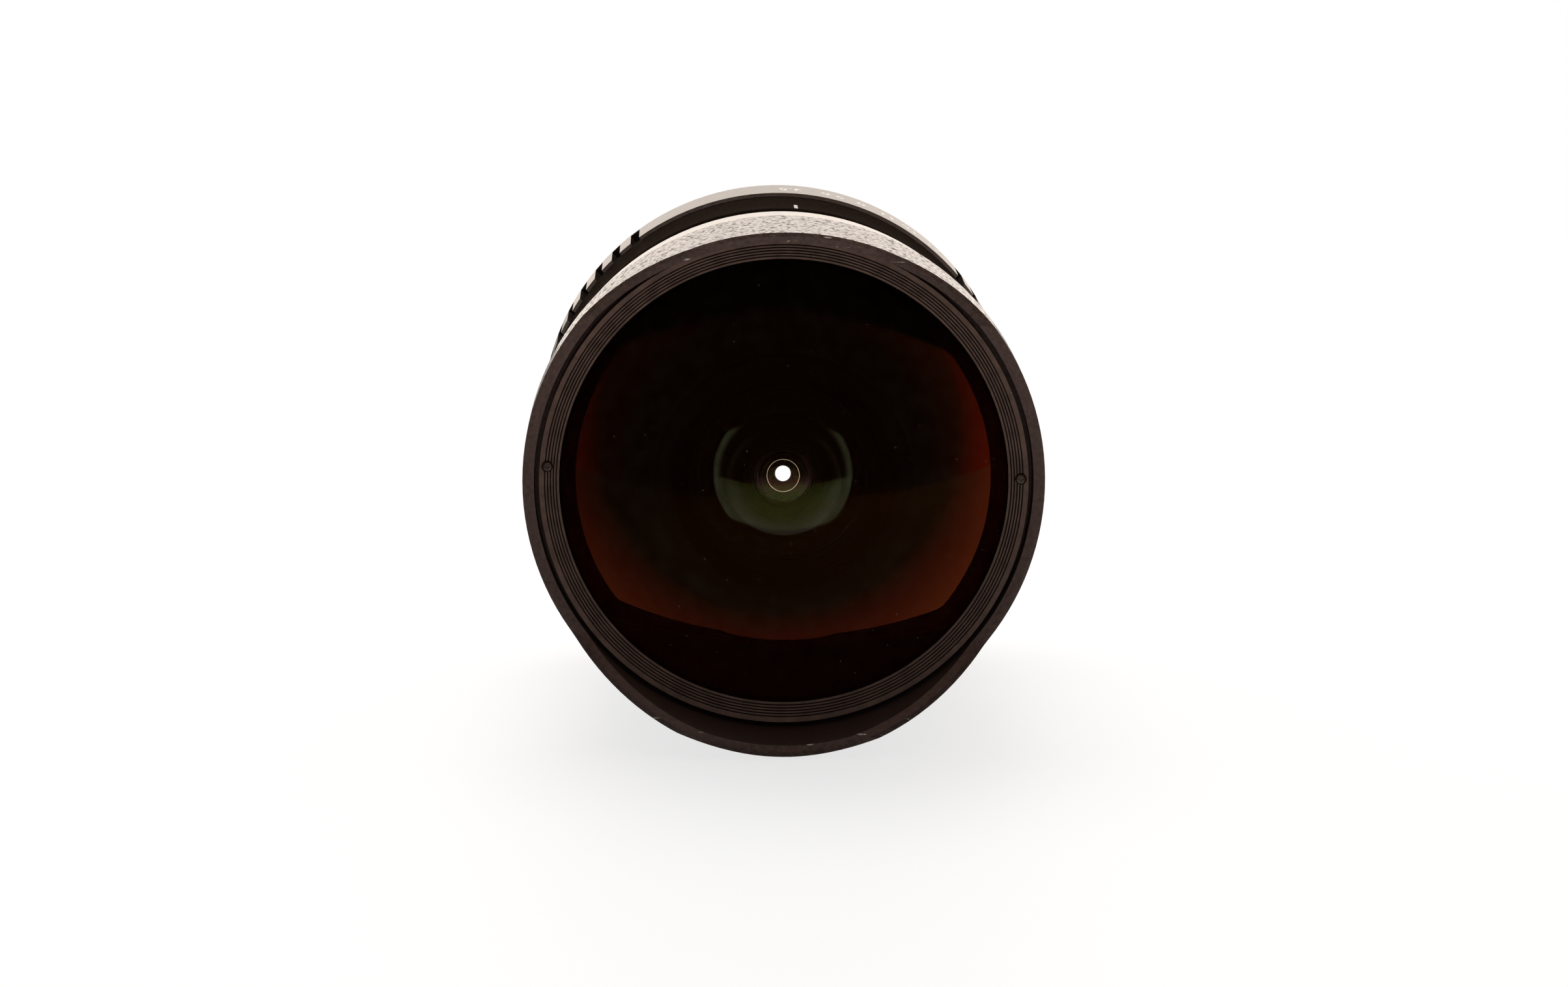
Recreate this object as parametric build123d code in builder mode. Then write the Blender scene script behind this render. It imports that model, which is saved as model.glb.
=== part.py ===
"""A fisheye prime lens with a fixed petal hood, an inner focusing group and a six-blade iris.

The optical axis is the Y axis: the glass looks along -Y and the bayonet points along +Y.
+Z is up when the lens is mounted, with the long petals above and below.
The origin is the centre of the bearing face of the bayonet flange.
Angles called clock angles run clockwise from the top as seen from the front.
"""

import os
from math import asin, atan2, cos, degrees, hypot, pi, radians, sin, sqrt, tan

from build123d import *

os.makedirs("parts", exist_ok=True)

# Driving dimensions, in millimetres and degrees

# Lengths along the axis, measured back from the petal tips
TIPS_TO_FLANGE = 77.5
HOOD_LENGTH = 21.0
FOCUS_RING_LENGTH = 16.5
CONE_LENGTH = 9.8
WAIST_LENGTH = 14.1
MOUNT_BASE_THICKNESS = 1.6
FLANGE_THICKNESS = 1.6

# Outer radii
HOOD_R = 37.5
FOCUS_RING_R = 36.2
GRIP_R = 36.45
CONE_FRONT_R = 36.0
CONE_REAR_R = 34.9
BEAD_R = 35.5
COVE_R = 35.15
FLARE_R = 35.6
APERTURE_RING_R = 36.17
FLANGE_R = 32.5

# Clearances
RUNNING = 0.05
SEAT = 0.05
RING_END_GAP = 0.3
CEMENT = 0.02
MOVING_GAP = 0.3
OVERCUT = 1.0

# Petal hood
HOOD_WALL_AT_TIPS = 1.43
HOOD_WALL = 1.65
SIDE_CUT_DEPTH = 12.8
SIDE_CUT_HALF_WIDTH = 23.0
SIDE_CUT_CORNER_R = 2.0
PETAL_SHOULDER_R = 4.0
PETAL_FLANK_ANGLE = 45.0
HOOD_FLANGE = 4.0
HOOD_OVER_TUBE = 1.8
HOOD_REAR_CHAMFER = 0.4

# Barrel tubes
FRONT_TUBE_R = 33.0
FRONT_BORE_R = 31.0
REAR_TUBE_R = 32.6
REAR_BORE_R = 31.2
WEB_SEAT_R = 28.0
WEB_SEAT_THICKNESS = 1.4
WEB_THICKNESS = 1.5
REAR_RIB_R = 28.5
REAR_RIB_LENGTH = 3.0
WEB_SEAT_BEHIND_BEAD = 0.5
CONE_STEP = 0.3
BEAD_WIDTH = 1.2
BEAD_ROUND = 0.15
WEB_SCREW_R = 0.8
WEB_SCREW_HEAD_R = 1.5
WEB_SCREW_HEAD = 0.9
WEB_SCREW_HOLE_CLEARANCE = 0.1
WEB_SCREW_CIRCLE_R = 29.4
WEB_SCREW_CLOCKS = (0.0, 120.0, 240.0)

# Front glass and the ring that holds it
DOME_HEIGHT_BELOW_TIPS = 3.0
DOME_CURVATURE = 56.0
DOME_CLEAR_R = 32.2
DOME_RIM_R = 32.5
DOME_THICKNESS = 3.0
DOME_HOLLOW_CURVATURE = 18.0
DOME_HOLLOW_R = 16.95
ARC_MIDDLE_SHARE = 0.6
BAFFLE_OUTER_R = 35.1
BAFFLE_OUTER_LIP = 0.6
BAFFLE_RISE = 0.9
BAFFLE_LIP_THICKNESS = 0.45
BAFFLE_GROOVES = 5
BAFFLE_GROOVE_PITCH = 0.41
BAFFLE_GROOVE_WIDTH = 0.2
BAFFLE_GROOVE_DEPTH = 0.25
BAFFLE_SCREW_CIRCLE_R = 34.0
BAFFLE_SCREW_LIFT = 2.4
BAFFLE_SCREW_HEAD_R = 0.72
BAFFLE_SCREW_PROUD = 0.4
BAFFLE_SCREW_SEAT_R = 0.84
BAFFLE_SCREW_SEAT_DEPTH = 0.45
BAFFLE_SCREW_R = 0.45
BAFFLE_SCREW_LENGTH = 2.0
BAFFLE_SCREW_DOME = 0.3
BAFFLE_SCREW_CROSS_LENGTH = 0.85
BAFFLE_SCREW_CROSS_WIDTH = 0.2
BAFFLE_SCREW_CROSS_DEPTH = 0.3
CELL_FLANGE = 1.15
CELL_RIM_LENGTH = 2.0
CELL_RIM_WALL = 1.6
CELL_WEB_DROP = 0.4
CELL_TUBE_WALL = 1.8
CELL_SHELF = 3.0
CELL_SHELF_THICKNESS = 1.0
SEAL_WIDTH = 0.5
SEAL_LENGTH = 0.9
SEAL_ROUND = 0.2
SEAL_GAP = 0.025

# Focusing
FOCUS_BACK = 20.0
FOCUS_FORTH = 80.0
FOCUS_TRAVEL_PER_DEGREE = 0.024
FOLLOWER_R = 0.95
FOLLOWER_COUNT = 3
FOLLOWER_CLOCK = 40.0
GROOVE_DEPTH = 1.2
GROOVE_OVERRUN = 3.0
GROOVE_FLOOR_GAP = 0.15
GROOVE_OPENING = 0.2
FOLLOWER_BEHIND_MIDDLE = 2.0
SLEEVE_LENGTH = 8.0
SLEEVE_WALL = 1.55
CARRIAGE_WEB = 1.6
CARRIAGE_HOLES = 6
CARRIAGE_HOLE_R = 5.0
CARRIAGE_FIRST_HOLE = 20.0
CARRIAGE_CELL_WALL = 1.65
CARRIAGE_FRONT_RIM = 0.5
CARRIAGE_REAR_RIM = 0.6
CARRIAGE_STEP = 0.3
CARRIAGE_RETAINER_WIDTH = 2.8
CARRIAGE_RETAINER_THICKNESS = 0.6
GRIP_RIBS = 54
GRIP_DEPTH = 1.2
GRIP_RIB_DEPTH = 0.6
GRIP_RIB_SHARE = 0.62
GRIP_LENGTH = 7.6
GRIP_LIP = 1.1
FRONT_EDGE_CHAMFER = 0.3
REAR_EDGE_CHAMFER = 0.2

# Aperture ring
STOP_TRAVEL = 38.4
POCKET_COUNT = 46
POCKET_PITCH = 6.05
POCKET_FIRST_CLOCK = -38.6
POCKET_WIDTH = 1.66
POCKET_DEPTH = 1.2
POCKET_REAR_RIM = 0.9
RING_CHAMFER = 0.5
DETENT_CLOCKS = (0.0, 10.4, 17.6, 24.6, 31.1, 38.4)
DETENT_BALL_R = 1.0
DETENT_DIMPLE = 0.35
DETENT_CLOCK = 180.0
DETENT_SLACK = 0.02
SPRING_WIDTH = 0.6
SPRING_THICKNESS = 0.25
SPRING_EYE_R = 0.55

# Iris
BLADE_COUNT = 6
OPEN_R = 4.3
CLOSED_R = 0.68
PIVOT_CIRCLE_R = 11.0
BLADE_HEAD_ANGLE = -14.0
BLADE_TAIL_ANGLE = 100.0
BLADE_LEVER = 3.6
BLADE_THICKNESS = 0.1
BLADE_PITCH = 0.17
BLADE_PIN_R = 0.4
BLADE_CLEAR_OF_PINS = 0.4
BLADE_OUTER_R = PIVOT_CIRCLE_R - BLADE_PIN_R - BLADE_CLEAR_OF_PINS
BLADE_LUG_R = 0.95
BLADE_NECK_LENGTH = 2.4
BLADE_NECK_WIDTH = 2.6
BLADE_TAIL_FILLET = 1.4
PIN_CLEARANCE = 0.05
CAM_CLEARANCE = 0.08
IRIS_PLATE = 0.9
IRIS_HOLE_R = 4.7
CAM_THICKNESS = 1.0
CAM_INNER_R = 9.3
IRIS_GAP = 0.1
WASHER_THICKNESS = 0.6
IRIS_RETAINER_WIDTH = 2.15
IRIS_RETAINER_INSET = 0.3
SPANNER_NOTCH_WIDTH = 1.4
SPANNER_NOTCH_DEPTH = 1.3
CHAMBER_R = 15.2
CHAMBER_WALL = 1.4
CHAMBER_FLOOR = 1.2
IRIS_Y = -23.7
ARM_CLOCK = 190.0
ARM_WIDTH = 4.4
FORK_INNER_R = 26.2
FORK_OUTER_R = 29.4
FORK_END = 0.5
LINK_WIDTH = 2.0
LINK_INNER_R = 26.7
LINK_THICKNESS = 1.5
LINK_LENGTH = 2.6
LINK_INSET = 0.9
LINK_FORWARD = 0.6
LEG_OVERREACH = 0.6
WINDOW_MARGIN = 4.0

# Rear cell
CELL_TUBE_R = 12.6
CELL_BORE_R = 11.25
CELL_TUBE_TO_FLANGE = 8.0
CELL_COLLAR = 1.2
CELL_FRONT_LIP = 0.6
CELL_REAR_WALL = 1.4
CELL_REAR_LIP = 1.3
SPACER_WIDTH = 0.5
SPACER_GAP = 0.03
PAIR_RETAINER_WIDTH = 0.6
PAIR_RETAINER_THICKNESS = 1.0
REAR_RETAINER_THICKNESS = 1.0
REAR_NOTCH_DEPTH = 0.5

# Bayonet mount
SPIGOT_R = 26.95
SPIGOT_BORE_R = 24.6
SPIGOT_LENGTH = 6.0
LUG_R = 28.6
LUG_START = 2.0
LUG_THICKNESS = 1.5
LUG_SPAN = 52.0
LUG_COUNT = 3
LUG_CLOCK = 22.0
RELIEF_R = 28.8
RELIEF_DEPTH = 0.6
MOUNT_SCREW_CIRCLE_R = 30.55
MOUNT_SCREW_COUNT = 4
MOUNT_SCREW_CLOCK = 45.0
MOUNT_SCREW_R = 0.85
MOUNT_SCREW_HEAD_R = 1.55
MOUNT_SCREW_LENGTH = 5.0
SCREW_SLOT_WIDTH = 0.5
SCREW_SLOT_DEPTH = 0.45
SCREW_SLOT_TURN = 20.0
MOUNT_SCREW_HEAD = 0.8
MOUNT_SCREW_HEAD_SUNK = 0.1
LOCK_HOLE_R = 1.1
LOCK_HOLE_CLOCK = 112.0
INDEX_DOT_R = 0.68
INDEX_DOT_SUNK = 0.9
INDEX_DOT_PROUD = 0.35
INDEX_DOT_ROUND = 0.2
LUG_ROOT = 0.5
SPIGOT_CHAMFER = 0.3
FLANGE_CHAMFER = 0.2
BASE_FRONT_R = 35.3
BASE_REAR_R = 33.3
MASK_WIDTH = 20.0
MASK_HEIGHT = 14.0
MASK_THICKNESS = 1.2
MASK_R = 28.3
MASK_CORNER_R = 1.5

# Places along the axis worked out from the lengths
TIPS_Y = -TIPS_TO_FLANGE
HOOD_REAR_Y = TIPS_Y + HOOD_LENGTH
FOCUS_FRONT_Y = HOOD_REAR_Y + RING_END_GAP
FOCUS_REAR_Y = FOCUS_FRONT_Y + FOCUS_RING_LENGTH
CONE_Y = FOCUS_REAR_Y + RING_END_GAP
BEAD_Y = CONE_Y + CONE_LENGTH
WAIST_REAR_Y = BEAD_Y + WAIST_LENGTH
RING_FRONT_Y = WAIST_REAR_Y + RING_END_GAP
BASE_REAR_Y = -FLANGE_THICKNESS
BASE_FRONT_Y = BASE_REAR_Y - MOUNT_BASE_THICKNESS
RING_REAR_Y = BASE_FRONT_Y - RING_END_GAP
APERTURE_RING_LENGTH = RING_REAR_Y - RING_FRONT_Y
HOOD_FLANGE_Y = HOOD_REAR_Y - HOOD_FLANGE
TUBE_FRONT_Y = HOOD_REAR_Y - HOOD_OVER_TUBE
CELL_FLANGE_Y = TUBE_FRONT_Y - CELL_FLANGE
WEB_SEAT_Y = BEAD_Y + WEB_SEAT_BEHIND_BEAD
WEB_FRONT_Y = WEB_SEAT_Y + WEB_SEAT_THICKNESS
RIB_FRONT_Y = BASE_FRONT_Y - REAR_RIB_LENGTH
FOLLOWER_Y = (FOCUS_FRONT_Y + FOCUS_REAR_Y) / 2 + FOLLOWER_BEHIND_MIDDLE
IRIS_FRONT_Y = IRIS_Y - IRIS_PLATE
BLADES_Y = IRIS_Y + IRIS_GAP
CAM_Y = BLADES_Y + BLADE_COUNT * BLADE_PITCH + IRIS_GAP
CAM_REAR_Y = CAM_Y + CAM_THICKNESS
WASHER_Y = CAM_REAR_Y + IRIS_GAP
CHAMBER_REAR_Y = WASHER_Y + WASHER_THICKNESS


def across(y):
    """The plane square to the axis at y, with x to the right and z up as seen from the front."""
    return Plane(origin=(0, y, 0), x_dir=(1, 0, 0), z_dir=(0, -1, 0))


def clock_point(radius, clock):
    """A point in such a plane, at a clock angle from the top."""
    return (radius * sin(radians(clock)), radius * cos(radians(clock)))


def outward(clock, y):
    """The plane through the axis at y that looks outward at a clock angle, its own y axis along +Y."""
    direction = (sin(radians(clock)), 0, cos(radians(clock)))
    return Plane(origin=(0, y, 0), x_dir=(cos(radians(clock)), 0, -sin(radians(clock))), z_dir=direction)


def surface(vertex_y, curvature, edge_r):
    """Three points of a lens surface, from the axis to its edge; a positive radius bulges forward."""
    centre_y = vertex_y + curvature
    points = []
    for r in (0.0, ARC_MIDDLE_SHARE * edge_r, edge_r):
        rise = sqrt(curvature**2 - r**2)
        points.append((r, centre_y - rise if curvature > 0 else centre_y + rise))
    return points


def window(near_r, far_r, clock, half_angle, travel):
    """A curved opening from half an angle before a clock angle to half an angle past its travel back."""
    start = 90.0 - clock - half_angle
    sweep_angle = travel + 2 * half_angle
    end = radians(start + sweep_angle)
    begin = radians(start)
    Line((near_r * cos(begin), near_r * sin(begin)), (far_r * cos(begin), far_r * sin(begin)))
    CenterArc((0, 0), far_r, start, sweep_angle)
    Line((far_r * cos(end), far_r * sin(end)), (near_r * cos(end), near_r * sin(end)))
    CenterArc((0, 0), near_r, start, sweep_angle)


def save(piece, name):
    """Labels a finished piece and writes its file."""
    piece.part.label = name
    export_step(piece.part, f"parts/{name}.step")


# The ten pieces of glass, from the front. Each has, in this order, the vertex, the radius of curvature and
# the clear radius of its front surface, the same three of its rear surface, and the radius of its rim
DOME_Y = TIPS_Y + DOME_HEIGHT_BELOW_TIPS
DOME_FRONT = (DOME_Y, DOME_CURVATURE, DOME_CLEAR_R)
DOME_REAR = (DOME_Y + DOME_THICKNESS, DOME_HOLLOW_CURVATURE, DOME_HOLLOW_R)
GLASS = {
    "front_element": (*DOME_FRONT, *DOME_REAR, DOME_RIM_R),
    "second_element": (-64.6, 32.0, 16.5, -63.1, 12.0, 11.4, 16.5),
    "third_element": (-52.0, 55.0, 9.0, -49.0, -150.0, 9.0, 9.5),
    "fourth_element": (-46.4, -55.0, 8.0, -41.6, -16.0, 8.0, 8.5),
    "fifth_element": (-41.6 + CEMENT, -16.0, 8.0, -40.4, -600.0, 8.0, 8.5),
    "sixth_element": (-19.2, -40.0, 8.0, -17.8, 26.0, 8.0, 8.6),
    "seventh_element": (-17.3, 24.0, 8.0, -12.9, -18.0, 8.0, 8.6),
    "eighth_element": (-12.9 + CEMENT, -18.0, 8.0, -11.4, -45.0, 8.0, 8.6),
    "ninth_element": (-10.6, 60.0, 8.8, -7.6, -24.0, 8.8, 9.3),
    "tenth_element": (-7.6 + CEMENT, -24.0, 8.8, -5.6, -60.0, 8.8, 9.3),
}


def edge_y(name, side):
    """Where the front (0) or rear (1) surface of a piece of glass meets its flat edge."""
    vertex_y, curvature, clear_r = GLASS[name][3 * side : 3 * side + 3]
    return surface(vertex_y, curvature, clear_r)[2][1]


def clear_r(name, side):
    """The bore that leaves a surface free and takes only the flat edge round it."""
    return GLASS[name][3 * side + 2] + SEAT


for glass_name, (front_y, front_c, front_r, back_y, back_c, back_r, rim_r) in GLASS.items():
    front_arc = surface(front_y, front_c, front_r)
    back_arc = surface(back_y, back_c, back_r)
    with BuildPart() as glass:
        with BuildSketch(Plane.XY):
            with BuildLine():
                ThreePointArc(*front_arc)
                if rim_r > front_r:
                    Line(front_arc[2], (rim_r, front_arc[2][1]))
                Line((rim_r, front_arc[2][1]), (rim_r, back_arc[2][1]))
                Line((rim_r, back_arc[2][1]), back_arc[2])
                ThreePointArc(*back_arc)
                Line(back_arc[0], front_arc[0])
            make_face()
        revolve(axis=Axis.Y)
    save(glass, glass_name)

# Petal hood: a tube with an inner flange, cut away at both sides to leave two long petals
BOTTOM_Y = TIPS_Y + SIDE_CUT_DEPTH
FLANK = radians(PETAL_FLANK_ANGLE)
TIP_HALF_WIDTH = SIDE_CUT_HALF_WIDTH + SIDE_CUT_DEPTH / tan(FLANK)
SHOULDER = PETAL_SHOULDER_R * tan(FLANK / 2)
SHOULDER_START = (TIPS_Y + SHOULDER * sin(FLANK), TIP_HALF_WIDTH - SHOULDER * cos(FLANK))
SHOULDER_END = (TIPS_Y, TIP_HALF_WIDTH + SHOULDER)
with BuildPart() as front_hood:
    with BuildSketch(Plane.XY):
        with BuildLine():
            Polyline(
                (HOOD_R - HOOD_WALL_AT_TIPS, TIPS_Y),
                (HOOD_R, TIPS_Y),
                (HOOD_R, HOOD_REAR_Y - HOOD_REAR_CHAMFER),
                (HOOD_R - HOOD_REAR_CHAMFER, HOOD_REAR_Y),
                (FRONT_TUBE_R + SEAT, HOOD_REAR_Y),
                (FRONT_TUBE_R + SEAT, HOOD_FLANGE_Y),
                (HOOD_R - HOOD_WALL, HOOD_FLANGE_Y),
                (HOOD_R - HOOD_WALL, BOTTOM_Y),
                close=True,
            )
        make_face()
    revolve(axis=Axis.Y)
    with BuildSketch(Plane.YZ):
        with BuildLine():
            Polyline(
                (BOTTOM_Y, 0),
                (BOTTOM_Y, SIDE_CUT_HALF_WIDTH),
                SHOULDER_START,
            )
            RadiusArc(SHOULDER_START, SHOULDER_END, -PETAL_SHOULDER_R)
            Polyline(
                SHOULDER_END,
                (TIPS_Y - OVERCUT, TIP_HALF_WIDTH + SHOULDER),
                (TIPS_Y - OVERCUT, 0),
                (BOTTOM_Y, 0),
            )
        upper_half = make_face()
        fillet(upper_half.vertices().group_by(Axis.X)[-1].sort_by(Axis.Y)[-1], SIDE_CUT_CORNER_R)
        mirror(about=Plane.XZ)
    extrude(amount=HOOD_R + OVERCUT, both=True, mode=Mode.SUBTRACT)
save(front_hood, "front_hood")

# Grooved ring that clamps the dome: its face falls towards the glass in fine concentric grooves
BAFFLE_LIP_R = clear_r("front_element", 0)
BAFFLE_FACE_Y = edge_y("front_element", 0) - BAFFLE_RISE
BAFFLE_SLOPE = (BAFFLE_RISE - BAFFLE_LIP_THICKNESS) / (BAFFLE_OUTER_R - BAFFLE_LIP_R)
BAFFLE_SEAT_Y = BAFFLE_FACE_Y + BAFFLE_SCREW_SEAT_DEPTH
screw_lift = radians(BAFFLE_SCREW_LIFT)
screw_x, screw_z = BAFFLE_SCREW_CIRCLE_R * cos(screw_lift), BAFFLE_SCREW_CIRCLE_R * sin(screw_lift)
BAFFLE_SCREW_SPOTS = ((screw_x, screw_z), (-screw_x, screw_z))
with BuildPart() as baffle_ring:
    with BuildSketch(Plane.XY):
        with BuildLine():
            Polyline(
                (BAFFLE_LIP_R, BAFFLE_FACE_Y + BAFFLE_SLOPE * (BAFFLE_OUTER_R - BAFFLE_LIP_R)),
                (BAFFLE_OUTER_R, BAFFLE_FACE_Y),
                (BAFFLE_OUTER_R, HOOD_FLANGE_Y),
                (DOME_RIM_R + SEAT, HOOD_FLANGE_Y),
                (DOME_RIM_R + SEAT, edge_y("front_element", 0) - SEAT),
                (BAFFLE_LIP_R, edge_y("front_element", 0) - SEAT),
                close=True,
            )
        make_face()
    revolve(axis=Axis.Y)
    with BuildSketch(Plane.XY):
        for groove in range(BAFFLE_GROOVES):
            groove_r = BAFFLE_OUTER_R - BAFFLE_OUTER_LIP - (groove + 0.5) * BAFFLE_GROOVE_PITCH
            groove_top_y = BAFFLE_FACE_Y + BAFFLE_SLOPE * (BAFFLE_OUTER_R - groove_r)
            with Locations((groove_r, groove_top_y)):
                Rectangle(BAFFLE_GROOVE_WIDTH, 2 * BAFFLE_GROOVE_DEPTH)
    revolve(axis=Axis.Y, mode=Mode.SUBTRACT)
    with BuildSketch(across(BAFFLE_FACE_Y)):
        with Locations(*BAFFLE_SCREW_SPOTS):
            Circle(BAFFLE_SCREW_SEAT_R)
    extrude(amount=-BAFFLE_SCREW_SEAT_DEPTH, mode=Mode.SUBTRACT)
    with BuildSketch(across(BAFFLE_SEAT_Y)):
        with Locations(*BAFFLE_SCREW_SPOTS):
            Circle(BAFFLE_SCREW_R)
    extrude(amount=-BAFFLE_SCREW_LENGTH, mode=Mode.SUBTRACT)
save(baffle_ring, "baffle_ring")

# The two domed screws that stop the grooved ring from turning, each with a cross in its head
with BuildPart() as baffle_screws:
    with BuildSketch(across(BAFFLE_FACE_Y - BAFFLE_SCREW_PROUD)):
        with Locations(*BAFFLE_SCREW_SPOTS):
            Circle(BAFFLE_SCREW_HEAD_R)
    extrude(amount=-BAFFLE_SCREW_SEAT_DEPTH - BAFFLE_SCREW_PROUD)
    fillet(baffle_screws.edges().group_by(Axis.Y)[0], BAFFLE_SCREW_DOME)
    with BuildSketch(across(BAFFLE_FACE_Y - BAFFLE_SCREW_PROUD)):
        with Locations(*BAFFLE_SCREW_SPOTS):
            Rectangle(BAFFLE_SCREW_CROSS_LENGTH, BAFFLE_SCREW_CROSS_WIDTH)
            Rectangle(BAFFLE_SCREW_CROSS_WIDTH, BAFFLE_SCREW_CROSS_LENGTH)
    extrude(amount=-BAFFLE_SCREW_CROSS_DEPTH, mode=Mode.SUBTRACT)
    with BuildSketch(across(BAFFLE_SEAT_Y)):
        with Locations(*BAFFLE_SCREW_SPOTS):
            Circle(BAFFLE_SCREW_R)
    extrude(amount=-BAFFLE_SCREW_LENGTH)
save(baffle_screws, "baffle_screws")

# Front cell: a flange between dome and barrel, and a tube that holds the second element
SECOND_RIM_R = GLASS["second_element"][6]
SECOND_REAR_Y = edge_y("second_element", 1)
with BuildPart() as front_cell:
    with BuildSketch(Plane.XY):
        with BuildLine():
            Polyline(
                (SECOND_RIM_R + SEAT, CELL_FLANGE_Y),
                (FRONT_TUBE_R, CELL_FLANGE_Y),
                (FRONT_TUBE_R, TUBE_FRONT_Y),
                (FRONT_BORE_R - SEAT, TUBE_FRONT_Y),
                (FRONT_BORE_R - SEAT, TUBE_FRONT_Y + CELL_RIM_LENGTH),
                (FRONT_BORE_R - CELL_RIM_WALL, TUBE_FRONT_Y + CELL_RIM_LENGTH),
                (FRONT_BORE_R - CELL_RIM_WALL, TUBE_FRONT_Y + CELL_WEB_DROP),
                (SECOND_RIM_R + CELL_TUBE_WALL, TUBE_FRONT_Y + CELL_WEB_DROP),
                (SECOND_RIM_R + CELL_TUBE_WALL, SECOND_REAR_Y + CELL_SHELF_THICKNESS),
                (SECOND_RIM_R - CELL_SHELF, SECOND_REAR_Y + CELL_SHELF_THICKNESS),
                (SECOND_RIM_R - CELL_SHELF, SECOND_REAR_Y + SEAT),
                (SECOND_RIM_R + SEAT, SECOND_REAR_Y + SEAT),
                close=True,
            )
        make_face()
    revolve(axis=Axis.Y)
save(front_cell, "front_cell")

# Soft sealing ring round the dome's rim
with BuildPart() as dome_seal:
    with BuildSketch(Plane.XY):
        seal_r = DOME_RIM_R + SEAL_GAP + SEAL_WIDTH / 2
        with Locations((seal_r, (HOOD_FLANGE_Y + CELL_FLANGE_Y) / 2)):
            RectangleRounded(SEAL_WIDTH, SEAL_LENGTH, SEAL_ROUND)
    revolve(axis=Axis.Y)
save(dome_seal, "dome_seal")

# Main barrel: front tube, cone, beaded waist with a cove, and the rear tube inside the aperture ring
SLOT_FRONT_Y = FOLLOWER_Y - FOCUS_BACK * FOCUS_TRAVEL_PER_DEGREE
SLOT_REAR_Y = FOLLOWER_Y + FOCUS_FORTH * FOCUS_TRAVEL_PER_DEGREE
LINK_Y = (RING_FRONT_Y + RING_REAR_Y) / 2 - LINK_FORWARD
FOLLOWER_CLOCKS = [FOLLOWER_CLOCK + 360.0 * i / FOLLOWER_COUNT for i in range(FOLLOWER_COUNT)]
SCREW_CLOCKS = [MOUNT_SCREW_CLOCK + 360.0 * i / MOUNT_SCREW_COUNT for i in range(MOUNT_SCREW_COUNT)]
with BuildPart() as main_barrel:
    with BuildSketch(Plane.XY):
        with BuildLine():
            Polyline(
                (FRONT_BORE_R, TUBE_FRONT_Y),
                (FRONT_TUBE_R, TUBE_FRONT_Y),
                (FRONT_TUBE_R, CONE_Y),
                (CONE_FRONT_R, CONE_Y),
                (CONE_REAR_R, BEAD_Y - CONE_STEP),
                (BEAD_R - BEAD_ROUND, BEAD_Y),
            )
            ThreePointArc(
                (BEAD_R - BEAD_ROUND, BEAD_Y),
                (BEAD_R, BEAD_Y + BEAD_WIDTH / 2),
                (BEAD_R - BEAD_ROUND, BEAD_Y + BEAD_WIDTH),
            )
            ThreePointArc(
                (BEAD_R - BEAD_ROUND, BEAD_Y + BEAD_WIDTH),
                (COVE_R, (BEAD_Y + WAIST_REAR_Y) / 2),
                (FLARE_R, WAIST_REAR_Y),
            )
            Polyline(
                (FLARE_R, WAIST_REAR_Y),
                (REAR_TUBE_R, WAIST_REAR_Y),
                (REAR_TUBE_R, BASE_FRONT_Y),
                (REAR_RIB_R, BASE_FRONT_Y),
                (REAR_RIB_R, RIB_FRONT_Y),
                (REAR_BORE_R, RIB_FRONT_Y),
                (REAR_BORE_R, WEB_FRONT_Y),
                (WEB_SEAT_R, WEB_FRONT_Y),
                (WEB_SEAT_R, WEB_SEAT_Y),
                (FRONT_BORE_R, WEB_SEAT_Y),
                (FRONT_BORE_R, TUBE_FRONT_Y),
            )
        make_face()
    revolve(axis=Axis.Y)
    # Straight slots that keep the focusing followers from turning
    for clock in FOLLOWER_CLOCKS:
        with BuildSketch(outward(clock, (SLOT_FRONT_Y + SLOT_REAR_Y) / 2)):
            SlotCenterToCenter(SLOT_REAR_Y - SLOT_FRONT_Y, 2 * (FOLLOWER_R + RUNNING), rotation=90)
        extrude(amount=FRONT_TUBE_R + OVERCUT, mode=Mode.SUBTRACT)
    # Window through which the aperture ring reaches the iris
    window_half = degrees(asin(LINK_WIDTH / 2 / REAR_BORE_R)) + WINDOW_MARGIN
    with BuildSketch(across(LINK_Y + LINK_LENGTH / 2 + MOVING_GAP)):
        with BuildLine():
            window(REAR_BORE_R - OVERCUT, REAR_TUBE_R + OVERCUT, ARM_CLOCK, window_half, STOP_TRAVEL)
        make_face()
    extrude(amount=LINK_LENGTH + 2 * MOVING_GAP, mode=Mode.SUBTRACT)
    # Tapped holes for the mount screws
    with BuildSketch(across(BASE_FRONT_Y)):
        with Locations(*[clock_point(MOUNT_SCREW_CIRCLE_R, c) for c in SCREW_CLOCKS]):
            Circle(MOUNT_SCREW_R)
    extrude(amount=REAR_RIB_LENGTH, mode=Mode.SUBTRACT)
    # Tapped holes for the screws of the inner barrel
    with BuildSketch(across(WEB_FRONT_Y)):
        with Locations(*[clock_point(WEB_SCREW_CIRCLE_R, c) for c in WEB_SCREW_CLOCKS]):
            Circle(WEB_SCREW_R)
    extrude(amount=WEB_SEAT_THICKNESS, mode=Mode.SUBTRACT)
    # Blind hole of the click ball
    with BuildSketch(outward(DETENT_CLOCK, BASE_FRONT_Y - REAR_RIB_LENGTH / 2)):
        Circle(DETENT_BALL_R + SEAT)
    extrude(amount=REAR_TUBE_R + OVERCUT, mode=Mode.SUBTRACT)
save(main_barrel, "main_barrel")

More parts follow.
